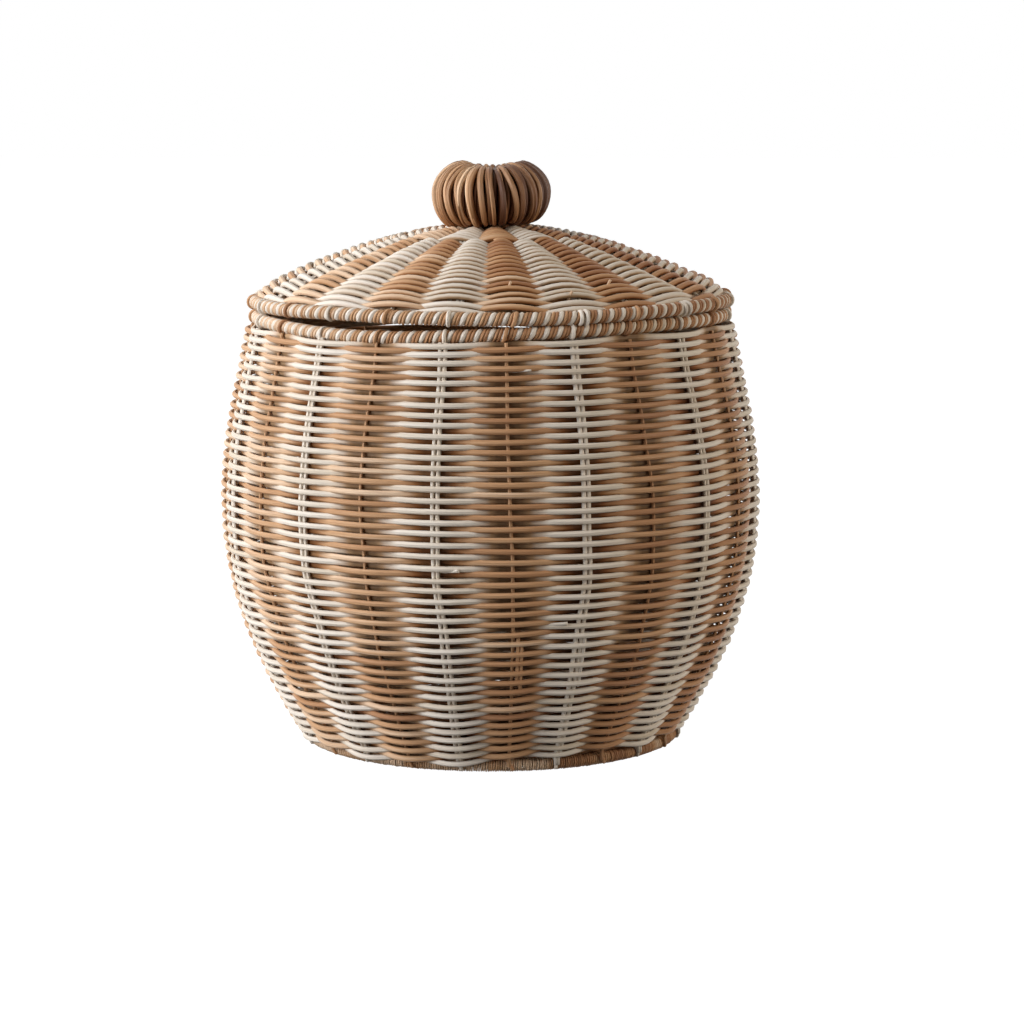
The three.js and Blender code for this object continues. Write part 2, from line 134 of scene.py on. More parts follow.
class Graph:
    """The node tree of one material or of the world."""

    def __init__(self, owner: bpy.types.Material | bpy.types.World) -> None:
        """Empties the owner's tree."""
        owner.use_nodes = True
        self.tree = owner.node_tree
        self.tree.nodes.clear()

    def node(self, kind: str, inputs: dict | None = None, **settings: object) -> bpy.types.Node:
        """Adds a node.

        Args:
            kind: The node's type.
            inputs: Its sockets by name or number, each a link or a plain value.
            settings: Its properties, which are set first.

        Returns:
            The node.
        """
        made = self.tree.nodes.new(kind)
        for name, value in settings.items():
            setattr(made, name, value)
        for name, value in (inputs or {}).items():
            if isinstance(value, Value):
                value = value.socket
            if isinstance(value, bpy.types.NodeSocket):
                self.tree.links.new(value, made.inputs[name])
            else:
                made.inputs[name].default_value = value
        return made

    def ramp(self, factor: Value, stops: Sequence[tuple[float, tuple]]) -> bpy.types.NodeSocket:
        """Adds a colour ramp.

        Args:
            factor: Where on the ramp to read.
            stops: Each stop's place and colour, in rising order.

        Returns:
            The ramp's colour.
        """
        made = self.node("ShaderNodeValToRGB", {0: factor})
        elements = made.color_ramp.elements
        while len(elements) < len(stops):
            elements.new(1.0)
        for element, (place, colour) in zip(elements, stops):
            element.position = place
            element.color = colour
        return made.outputs[0]

    def mix(self, share: Value | float, first: object, second: object, how: str) -> bpy.types.NodeSocket:
        """Mixes two colours.

        Args:
            share: How much of the second colour shows.
            first: The first colour.
            second: The second colour.
            how: The blend type.

        Returns:
            The mixed colour.
        """
        inputs = {0: share, 6: first, 7: second}
        return self.node("ShaderNodeMix", inputs, data_type="RGBA", blend_type=how).outputs[2]

    def noise(self, vector: object, scale: float, detail: float = 2.0, roughness: float = 0.5) -> Value:
        """Adds a noise texture and returns its value, about 0.5 on average."""
        inputs = {"Vector": vector, "Scale": scale, "Detail": detail, "Roughness": roughness}
        return Value(self, self.node("ShaderNodeTexNoise", inputs).outputs[0])

    def attribute(self, name: str, output: str = "Fac") -> Value:
        """Returns one of the mesh's own attributes."""
        return Value(self, self.node("ShaderNodeAttribute", attribute_name=name).outputs[output])

    def blend(self, share: Value | float, first: bpy.types.Node, second: bpy.types.Node) -> bpy.types.Node:
        """Returns a mix of two shaders, with the share that the second one has."""
        return self.node("ShaderNodeMixShader", {0: share, 1: first.outputs[0], 2: second.outputs[0]})

    def show(self, shader: bpy.types.Node, kind: str = "ShaderNodeOutputMaterial") -> None:
        """Links the last shader to the tree's output."""
        self.node(kind, {0: shader.outputs[0]})


# Finishes

# Painted shade: what is left of a strand's colour where shade falls in the weave's gaps, read by the shade
# attribute.
PAINTED_GAP_SHADE = (
    (0.0, (1.0, 1.0, 1.0, 1.0)),
    (0.5, (0.56, 0.4, 0.26, 1.0)),
    (1.0, (0.11, 0.066, 0.033, 1.0)),
)


def linear(colour: Colour) -> tuple[float, float, float, float]:
    """Turns a colour in display numbers from 0 to 255 into linear ones, with an alpha of 1."""
    shares = [channel / 255 for channel in colour]
    values = [s / 12.92 if s <= 0.04045 else ((s + 0.055) / 1.055) ** 2.4 for s in shares]
    return (values[0], values[1], values[2], 1.0)


@dataclass(frozen=True)
class Grain:
    """How a strand's streaks and ribs are spread over it, and how strongly they show."""

    along: float = 0.02
    around: float = 1.6
    by_tone: float = 9.0
    fine_scale: float = 2.2
    fine_detail: float = 4.0
    fine_roughness: float = 0.65
    broad_scale: float = 0.55
    broad_share: float = 0.7
    streak_start: float = 0.42
    streak_contrast: float = 3.2
    streak_relief: float = 1.4
    rib_relief: float = 0.5
    gloss_spread: float = 0.16


@dataclass(frozen=True)
class RattanFinish:
    """Extruded rattan strand: streaked along its run, finely ribbed, with a soft sheen."""

    name: str
    slot: Slot
    tones: tuple[tuple[float, Colour], ...]
    streak: Colour
    streak_share: float
    ribs: int = 7
    rib_depth: float = 0.00013
    roughness: float = 0.46
    specular: float = 0.14
    grain: Grain = Grain()

    def make(self) -> bpy.types.Material:
        """Returns the strand's material."""
        material = bpy.data.materials.new(self.name)
        graph = Graph(material)
        grain = self.grain
        strand = graph.attribute("strand", "Vector")
        parts = graph.node("ShaderNodeSeparateXYZ", {0: strand}).outputs
        run, across, out = (Value(graph, parts[index]) for index in range(3))
        tone = graph.attribute("tone")
        spot = {
            0: run * grain.along,
            1: across * grain.around + tone * grain.by_tone,
            2: out * grain.around,
        }
        place = graph.node("ShaderNodeCombineXYZ", spot).outputs[0]
        streaks = graph.noise(place, grain.fine_scale, grain.fine_detail, grain.fine_roughness)
        mottle = graph.noise(place, grain.broad_scale)
        stops = [(stop, linear(colour)) for stop, colour in self.tones]
        base = graph.ramp((tone + (mottle - 0.5) * grain.broad_share).clamped(), stops)
        streaked = ((streaks - grain.streak_start) * grain.streak_contrast).clamped()
        unshaded = graph.mix(streaked * self.streak_share, base, linear(self.streak), "MIX")
        # The shade attribute darkens the colour with painted shade where the weave's gaps and hidden sides
        # lie.
        painted_gap_shade = graph.ramp(graph.attribute("shade").clamped(), PAINTED_GAP_SHADE)
        ribs = (out.angle_from(across) * float(self.ribs)).sine()
        relief = ribs * grain.rib_relief + streaks * grain.streak_relief
        bump = {"Strength": 1.0, "Distance": self.rib_depth, "Height": relief}
        inputs = {
            "Base Color": graph.mix(1.0, unshaded, painted_gap_shade, "MULTIPLY"),
            "Roughness": streaks * grain.gloss_spread + (self.roughness - grain.gloss_spread / 2),
            "Normal": graph.node("ShaderNodeBump", bump).outputs[0],
            "Specular IOR Level": self.specular,
        }
        graph.show(graph.node("ShaderNodeBsdfPrincipled", inputs))
        return material


@dataclass(frozen=True)
class WireFinish:
    """Coated wire inside the wound rings, with darker and lighter patches."""

    name: str = "coated_wire"
    slot: Slot = Slot.WIRE
    patches: tuple[tuple[float, Colour], ...] = ((0.35, (60, 56, 52)), (0.65, (96, 90, 82)))
    scale: float = 260.0
    detail: float = 4.0
    raggedness: float = 0.6
    bump: float = 0.6
    bump_depth: float = 0.0004
    metallic: float = 0.8
    roughness: float = 0.5
    gloss_spread: float = 0.2

    def make(self) -> bpy.types.Material:
        """Returns the wire's material."""
        material = bpy.data.materials.new(self.name)
        graph = Graph(material)
        place = graph.node("ShaderNodeTexCoord").outputs["Object"]
        patches = graph.noise(place, self.scale, self.detail, self.raggedness)
        bump = {"Strength": self.bump, "Distance": self.bump_depth, "Height": patches}
        inputs = {
            "Base Color": graph.ramp(patches, [(stop, linear(colour)) for stop, colour in self.patches]),
            "Roughness": patches * self.gloss_spread + (self.roughness - self.gloss_spread / 2),
            "Metallic": self.metallic,
            "Normal": graph.node("ShaderNodeBump", bump).outputs[0],
        }
        graph.show(graph.node("ShaderNodeBsdfPrincipled", inputs))
        return material


Finish = RattanFinish | WireFinish

CREAM = RattanFinish(
    name="cream_strand",
    slot=Slot.CREAM,
    tones=((0.1, (210, 193, 169)), (0.4, (222, 208, 189)), (0.7, (230, 218, 202)), (0.95, (216, 203, 184))),
    streak=(184, 164, 138),
    streak_share=0.3,
)
TAN = RattanFinish(
    name="tan_strand",
    slot=Slot.TAN,
    tones=((0.1, (165, 119, 84)), (0.4, (183, 137, 97)), (0.7, (200, 158, 117)), (0.95, (224, 193, 160))),
    streak=(146, 98, 66),
    streak_share=0.42,
)
BROWN = RattanFinish(
    name="brown_strand",
    slot=Slot.BROWN,
    tones=((0.1, (92, 58, 36)), (0.4, (140, 97, 62)), (0.7, (200, 154, 111)), (0.95, (240, 202, 161))),
    streak=(82, 48, 28),
    streak_share=0.6,
    ribs=6,
    rib_depth=0.00022,
    roughness=0.42,
    specular=0.28,
)
CORE = replace(BROWN, name="core_strand", specular=0.1)
WIRE = WireFinish()


@cache
def material_of(finish: Finish) -> bpy.types.Material:
    """Returns a finish's material, which is made the first time it is asked for."""
    return finish.make()


# Curves and places


def eased(share: np.ndarray) -> np.ndarray:
    """Returns shares from 0 to 1 with a soft start and end."""
    return share * share * (3 - 2 * share)


def stake_angle(index: float) -> float:
    """Returns the angle of a stake, counted from the tan stake at the front."""
    return FACE_TURN - math.pi / 2 + index * STAKE_STEP


def azimuth_of(angle: np.ndarray) -> np.ndarray:
    """Returns how far angles lie from the front, in degrees from -180 to 180."""
    return (np.degrees(angle) + 270) % 360 - 180


def polar(radius: np.ndarray, angle: np.ndarray, height: np.ndarray) -> np.ndarray:
    """Returns points from their radius, angle and height."""
    radius, angle, height = np.broadcast_arrays(radius, angle, height)
    return np.stack([radius * np.cos(angle), radius * np.sin(angle), height], 1)


def crossing(angle: float, along: np.ndarray, side: np.ndarray | float, height: np.ndarray) -> np.ndarray:
    """Returns points on a line across the middle.

    Args:
        angle: The line's angle.
        along: How far along the line each point lies.
        side: How far beside it.
        height: Its height.

    Returns:
        The points.
    """
    x = along * math.cos(angle) - side * math.sin(angle)
    y = along * math.sin(angle) + side * math.cos(angle)
    return np.stack([x, y, height], 1)


@dataclass(frozen=True)
class Zone:
    """A stretch over which something sets in. Its end may lie below its start."""

    start: float
    end: float

    def share(self, where: np.ndarray) -> np.ndarray:
        """Returns how far into the zone each place lies, from 0 to 1."""
        return np.clip((where - self.start) / (self.end - self.start), 0, 1)


@dataclass(frozen=True)
class Profile:
    """A smooth curve through measured points."""

    places: tuple[float, ...]
    values: tuple[float, ...]

    def at(self, where: np.ndarray | float) -> np.ndarray:
        """Returns the curve's value at each place."""
        x = np.asarray(self.places)
        y = np.asarray(self.values)
        slopes = np.gradient(y, x)
        where = np.clip(np.asarray(where, float), x[0], x[-1])
        index = np.clip(np.searchsorted(x, where) - 1, 0, len(x) - 2)
        width = x[index + 1] - x[index]
        t = (where - x[index]) / width
        first = (1 + 2 * t) * (1 - t) ** 2 * y[index] + t * t * (3 - 2 * t) * y[index + 1]
        second = t * (1 - t) ** 2 * slopes[index] - t * t * (1 - t) * slopes[index + 1]
        return first + second * width


@dataclass(frozen=True)
class Waver:
    """A smooth seeded irregularity."""

    size: float
    spacing: float  # samples between two turns of its course
    limit: float = math.inf  # in sizes

    def along(self, rng: np.random.Generator, count: int) -> np.ndarray:
        """Returns the irregularity of each of some samples, drawn from a piece's random numbers."""
        knots = rng.normal(size=int(count / self.spacing) + 3)
        place = np.arange(count) / self.spacing
        whole = place.astype(int)
        share = eased(place - whole)
        course = knots[whole] * (1 - share) + knots[whole + 1] * share
        return self.size * np.clip(course, -self.limit, self.limit)


SWAY = Waver(0.15, 12)
GIRTH = Waver(0.03, 60)
FLECKS = Waver(0.05, 12)
LEFT = Zone(-0.3, -0.9)


def left_share(angle: np.ndarray) -> np.ndarray:
    """Returns from 0 to 1 how far angles lie on the left, where less shade is painted in the weave's gaps,
    as the key lamp shines there.
    """
    return LEFT.share(np.sin(np.radians(azimuth_of(angle))))


def painted_side_light(tone: np.ndarray, angle: np.ndarray, left_painted_light: float) -> np.ndarray:
    """Returns tones painted paler on the left, where the key lamp shines, and darker on the right, held
    between 0 and 1: painted light and shade.
    """
    return np.clip(tone - left_painted_light * np.sin(np.radians(azimuth_of(angle))), 0, 1)


# Strands

# Where on a strand's section the painted shade falls: on the outward side, and on the flanks and below.
OUTWARD = Zone(-0.4, 0.6)
FLANKS = Zone(0.6, 0.1)


@dataclass
class Run:
    """One run of strand."""

    points: np.ndarray
    radius: np.ndarray
    tone: np.ndarray
    closed: bool = False
    press: np.ndarray | None = None  # the direction in which each point is pressed flat
    shade: np.ndarray | None = None  # how dark the shade painted on its side along the press is
    flank_shade: np.ndarray | None = None  # how dark the shade painted on the rest of it is

    def depth(self, rings: np.ndarray) -> np.ndarray:
        """Returns how far each vertex of the run's rings lies out along its press, in metres."""
        if self.press is None:
            return np.zeros(rings.shape[:2])
        arms = rings - (self.points * METRE)[:, None, :]
        return (arms * self.press[:, None, :]).sum(2)

    def painted_shade(self, level: np.ndarray) -> np.ndarray:
        """Returns the shade painted on each vertex, from its depth as a share of the radius."""
        dark = np.zeros(level.shape)
        if self.shade is not None:
            dark = dark + self.shade[:, None] * OUTWARD.share(level)
        if self.flank_shade is not None:
            dark = dark + self.flank_shade[:, None] * FLANKS.share(level)
        return dark


def add_object(name: str, data: bpy.types.ID) -> bpy.types.Object:
    """Makes an object of some data and adds it to the scene."""
    made = bpy.data.objects.new(name, data)
    bpy.context.scene.collection.objects.link(made)
    return made


@dataclass
class Bundle:
    """Runs of strand that make one piece, which stands for some of the source's nodes."""

    name: str
    finish: Finish
    body: Body
    sides: int = 8
    nodes: tuple[str, ...] = ()
    flat: float = 1.0
    runs: list[Run] = field(default_factory=list)

    def add(self, points: np.ndarray, radius: object, tone: object, closed: bool = False) -> Run:
        """Adds a run whose radius and tone may be single numbers.

        Args:
            points: Its middle line.
            radius: Its radius, one number or one for each point.
            tone: Its tone from 0 to 1, one number or one for each point.
            closed: Whether it joins up with itself.

        Returns:
            The run.
        """
        count = len(points)
        run = Run(points, np.broadcast_to(radius, count), np.broadcast_to(tone, count), closed)
        self.runs.append(run)
        return run

    def tube(self) -> bpy.types.Mesh:
        """Returns the tubes along all runs as one mesh."""
        curve = bpy.data.curves.new(self.name + "_line", "CURVE")
        curve.dimensions = "3D"
        curve.twist_mode = "MINIMUM"
        curve.bevel_depth = METRE
        curve.bevel_resolution = self.sides // 2 - 2
        for run in self.runs:
            spline = curve.splines.new("POLY")
            spline.points.add(len(run.points) - 1)
            places = np.ones((len(run.points), 4))
            places[:, :3] = run.points * METRE
            spline.points.foreach_set("co", places.astype(np.float32).ravel())
            spline.points.foreach_set("radius", np.asarray(run.radius, np.float32))
            spline.use_cyclic_u = run.closed
        line = add_object(self.name + "_line", curve)
        evaluated = line.evaluated_get(bpy.context.evaluated_depsgraph_get())
        mesh = bpy.data.meshes.new_from_object(evaluated)
        bpy.data.objects.remove(line)
        bpy.data.curves.remove(curve)
        return mesh

    def rings(self, mesh: bpy.types.Mesh) -> list[np.ndarray]:
        """Returns the places of the tubes' vertices, run by run and ring by ring."""
        places = np.empty(len(mesh.vertices) * 3, np.float32)
        mesh.vertices.foreach_get("co", places)
        ends = np.cumsum([len(run.points) for run in self.runs])
        return np.split(places.reshape(-1, self.sides, 3), ends[:-1])

    def flatten(self, mesh: bpy.types.Mesh) -> None:
        """Presses each ring of the tubes flat in its run's own direction."""
        parts = []
        for run, rings in zip(self.runs, self.rings(mesh)):
            if run.press is not None:
                rings = rings - (1 - self.flat) * run.depth(rings)[:, :, None] * run.press[:, None, :]
            parts.append(rings)
        mesh.vertices.foreach_set("co", np.concatenate(parts).astype(np.float32).ravel())
        mesh.update()

    def mark(self, mesh: bpy.types.Mesh) -> None:
        """Writes where each vertex lies along and around its strand, its tone and its painted shade."""
        along = []
        tones = []
        shades = []
        for run, rings in zip(self.runs, self.rings(mesh)):
            steps = np.linalg.norm(np.diff(run.points, axis=0), axis=1)
            along.append(np.concatenate([[0.0], np.cumsum(steps)]))
            tones.append(np.repeat(run.tone, self.sides))
            level = run.depth(rings) / METRE / self.flat / run.radius[:, None]
            shades.append(run.painted_shade(level).ravel())
        length = np.repeat(np.concatenate(along), self.sides)
        turns = np.tile(TURN * np.arange(self.sides) / self.sides, len(length) // self.sides)
        strand = np.stack([length, np.cos(turns), np.sin(turns)], 1).astype(np.float32)
        mesh.attributes.new("strand", "FLOAT_VECTOR", "POINT").data.foreach_set("vector", strand.ravel())
        for name, parts in (("tone", tones), ("shade", shades)):
            values = np.concatenate(parts).astype(np.float32)
            mesh.attributes.new(name, "FLOAT", "POINT").data.foreach_set("value", values)

    def cap(self, mesh: bpy.types.Mesh) -> None:
        """Closes the open ends of the tubes and smooths everything else."""
        shell = bmesh.new()
        shell.from_mesh(mesh)
        ends = [edge for edge in shell.edges if edge.is_boundary]
        caps = bmesh.ops.holes_fill(shell, edges=ends, sides=0)["faces"] if ends else []
        bmesh.ops.recalc_face_normals(shell, faces=caps)
        for face in shell.faces:
            face.smooth = True
        for face in caps:
            face.smooth = False
        shell.to_mesh(mesh)
        shell.free()

    def lay(self) -> None:
        """Makes the piece, dresses it in its finish and hangs it on its body."""
        mesh = self.tube()
        if self.flat < 1.0:
            self.flatten(mesh)
        self.mark(mesh)
        self.cap(mesh)
        piece = add_object(self.name, mesh)
        mesh.materials.clear()
        mesh.materials.append(material_of(self.finish))
        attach(piece, self.body.value)
        if self.nodes:
            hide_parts(*self.nodes)
        log.info("%s: %d runs, %d faces", self.name, len(self.runs), len(mesh.polygons))


# Wrapped rings


@dataclass(frozen=True)
class Ring:
    """A wire hoop with strands wound round it."""

    label: str
    body: Body
    names: tuple[str, ...]
    strands: tuple[tuple[RattanFinish, float, float], ...]  # finish, start as a share of the pitch, radius
    radius: float
    height: float
    tube: float  # the winding's own radius
    turns: int
    seed: int
    bend: Profile = Profile((-180, 180), (0, 0))  # up or down at each azimuth
    tone: float = 0.5
    sides: int = 8
    samples: int = 12
    seed_step: int = 97
    crowd: float = 0.0011  # how far turns crowd together, in radians
    crowd_waves: int = 3
    wobble: float = 0.03
    tone_spread: float = 0.24
    tone_turns: int = 9

    def shift(self, angle: np.ndarray) -> np.ndarray:
        """Returns how far the ring is bent up or down at an angle."""
        return self.bend.at(azimuth_of(angle))

    def wound(self, share: float, strand_radius: float) -> Run:
        """Winds one strand round the hoop.

        Args:
            share: Where it starts, as a share of the winding's pitch.
            strand_radius: Its radius.

        Returns:
            The closed run.
        """
        rng = np.random.default_rng(self.seed + int(self.seed_step * share))
        count = self.turns * self.samples
        place = np.arange(count) / self.samples
        turn = TURN * place
        angle = TURN * (place + share) / self.turns
        angle = angle + self.crowd * np.sin(turn * self.crowd_waves / self.turns + self.seed)
        wobble = 1 + Waver(self.wobble, self.samples).along(rng, count)
        wobble[-self.samples:] = 1.0
        reach = (self.tube - strand_radius) * wobble
        height = self.height + self.shift(angle) + reach * np.sin(turn)
        tone = self.tone + Waver(self.tone_spread, self.tone_turns * self.samples).along(rng, count)
        points = polar(self.radius + reach * np.cos(turn), angle, height)
        # Painted light and shade: the tones are paler on the left and darker on the right.
        return Run(points, np.full(count, strand_radius), painted_side_light(tone, angle, LEFT_PAINTED_LIGHT), True)

    def build(self) -> None:
        """Winds every strand, one piece for each finish."""
        bundles: dict[str, Bundle] = {}
        for finish, share, strand_radius in self.strands:
            if finish.name not in bundles:
                name = self.names[len(bundles)]
                bundles[finish.name] = Bundle(name, finish, self.body, self.sides, (f"{self.label}_wrap",))
            bundles[finish.name].runs.append(self.wound(share, strand_radius))
        for bundle in bundles.values():
            bundle.lay()


RIM_STRANDS = ((CREAM, 0.0, 2.05), (TAN, 0.39, 1.1), (TAN, 0.66, 1.1))
BODY_RIM = Ring(
    label="body_rim",
    body=Body.BASKET,
    names=("body_rim_cream_binding", "body_rim_tan_binding"),
    strands=RIM_STRANDS,
    radius=150.9,
    height=276.1,
    tube=4.3,
    turns=116,
    seed=61,
    bend=Profile(
        (-180, -120, -90, -59, -40, -25, -10, 0, 21, 35, 52, 90, 130, 180),
        (0.3, 0.1, -0.2, -1.1, -2.9, -2.9, -1.5, -0.3, 1.3, 2.1, 2.4, 1.8, 0.9, 0.3),
    ),
)
LID_RIM = Ring(
    label="lid_rim",
    body=Body.LID,
    names=("lid_rim_cream_binding", "lid_rim_tan_binding"),
    strands=RIM_STRANDS,
    radius=151.8,
    height=285.35,
    tube=4.4,
    turns=116,
    seed=62,
    bend=Profile(
        (-180, -120, -90, -59, -40, -25, -10, 2, 21, 35, 52, 90, 130, 180),
        (0.6, 0.4, 0.3, 0.4, 1.0, 0.6, 0.2, 0.0, 0.3, 1.3, 2.2, 2.0, 1.2, 0.6),
    ),
)
FOOT = Ring(
    label="foot",
    body=Body.BASKET,
    names=("foot_binding",),
    strands=((TAN, 0.0, 0.76),),
    radius=119.6,
    height=4.55,
    tube=4.2,
    turns=500,
    seed=63,
    tone=0.72,
    sides=4,
    samples=8,
)


@dataclass(frozen=True)
class Tie:
    """A loop of strand that ties a stake to a ring."""

    ring: Ring
    start: float  # in degrees round the tube, 0 outwards and 90 up
    end: float
    turn: float = 0.0  # of all the ring's ties against the stakes
    radius: float = 1.25
    stand: float = 0.35  # off the winding, in radii
    sink: float = 0.6  # into it above and below, in radii
    dive: float = 2.4  # of its end into the winding
    dive_zone: Zone = Zone(0.36, 0.5)
    samples: int = 22

    def loop(self, angle: float, lean: float) -> np.ndarray:
        """Returns a loop's middle line.

        Args:
            angle: The angle of its middle on the ring.
            lean: How far it moves sideways from start to end.

        Returns:
            The points.
        """
        turn = np.radians(np.linspace(self.start, self.end, self.samples))
        share = np.linspace(-0.5, 0.5, self.samples)
        face = np.clip(np.cos(turn), 0, 1)
        reach = self.ring.tube + self.radius * (self.stand * face - self.sink * (1 - face))
        reach = reach - self.dive * self.dive_zone.share(share)
        place = angle + lean * share / self.ring.radius
        height = self.ring.height + self.ring.shift(place) + reach * np.sin(turn)
        return polar(self.ring.radius + reach * np.cos(turn), place, height)


# The basket's wall


@dataclass(frozen=True)
class Drift:
    """How far the hand-set stakes lie from even places, in millimetres along the wall."""

    heights: tuple[float, ...] = (55, 91, 133, 175, 217, 258)
    azimuths: tuple[float, ...] = (-180, -95, -41.5, -26.5, -11.5, 3.5, 18.5, 33.5, 48.5, 95, 180)
    shifts: tuple[tuple[float, ...], ...] = (
        (0, 0, 5.4, 4.2, 5.2, 3.3, 1.2, 0.5, 0.5, 0, 0),
        (0, 0, 4.0, 2.3, 4.0, 3.3, 1.4, 3.0, 3.0, 0, 0),
        (0, 0, -1.0, -0.8, 0.6, 2.4, 4.2, 5.4, 6.4, 0, 0),
        (0, 0, -2.2, -3.6, 0.4, 0.6, 2.9, 5.2, 7.0, 0, 0),
        (0, 0, -2.8, -3.0, 0.7, -0.2, 2.2, 2.0, 4.5, 0, 0),
        (0, 0, -1.8, -0.3, 2.2, 0.0, 0.8, -0.8, 1.2, 0, 0),
    )

    def at(self, angle: np.ndarray, height: np.ndarray) -> np.ndarray:
        """Returns the shift at each angle and height."""
        azimuth = azimuth_of(angle)
        levels = np.array([Profile(self.azimuths, row).at(azimuth) for row in self.shifts])
        place = np.interp(height, self.heights, np.arange(len(self.heights)))
        whole = np.minimum(place.astype(int), len(self.heights) - 2)
        share = eased(place - whole)
        column = np.arange(len(azimuth))
        return levels[whole, column] * (1 - share) + levels[whole + 1, column] * share


DRIFT = Drift()


@dataclass(frozen=True)
class Course:
    """One weaver's way round the wall."""

    colour: str
    finish: RattanFinish
    seed: int
    first: float
    last: float
    begin: int  # the stake inside which it starts and ends
    column: int  # a stake that it passes outside
    left_painted_light: float  # painted light: how much paler it is painted on the left than in front, darker on the right


@dataclass(frozen=True)
class Slit:
    """Two rows that part at the back, so that light comes through a gap in front of them."""

    width: float = 1.05  # how far the rows move
    row: float = 38.75
    angle: float = math.radians(104)
    near: Zone = Zone(0.89, 0.93)
    climb: Zone = Zone(51.5, 123.5)
    sharpness: float = 6.0
    reach: float = 2.0

    def at(self, angle: np.ndarray, row: np.ndarray) -> np.ndarray:
        """Returns how far strands are moved up or down at their angles and rows."""
        off = row - eased(self.climb.share(np.degrees(angle) % 360)) - self.row
        behind = self.near.share(np.cos(angle - self.angle))
        return self.width * behind * np.tanh(self.sharpness * off) * np.exp(-((off / self.reach) ** 2))


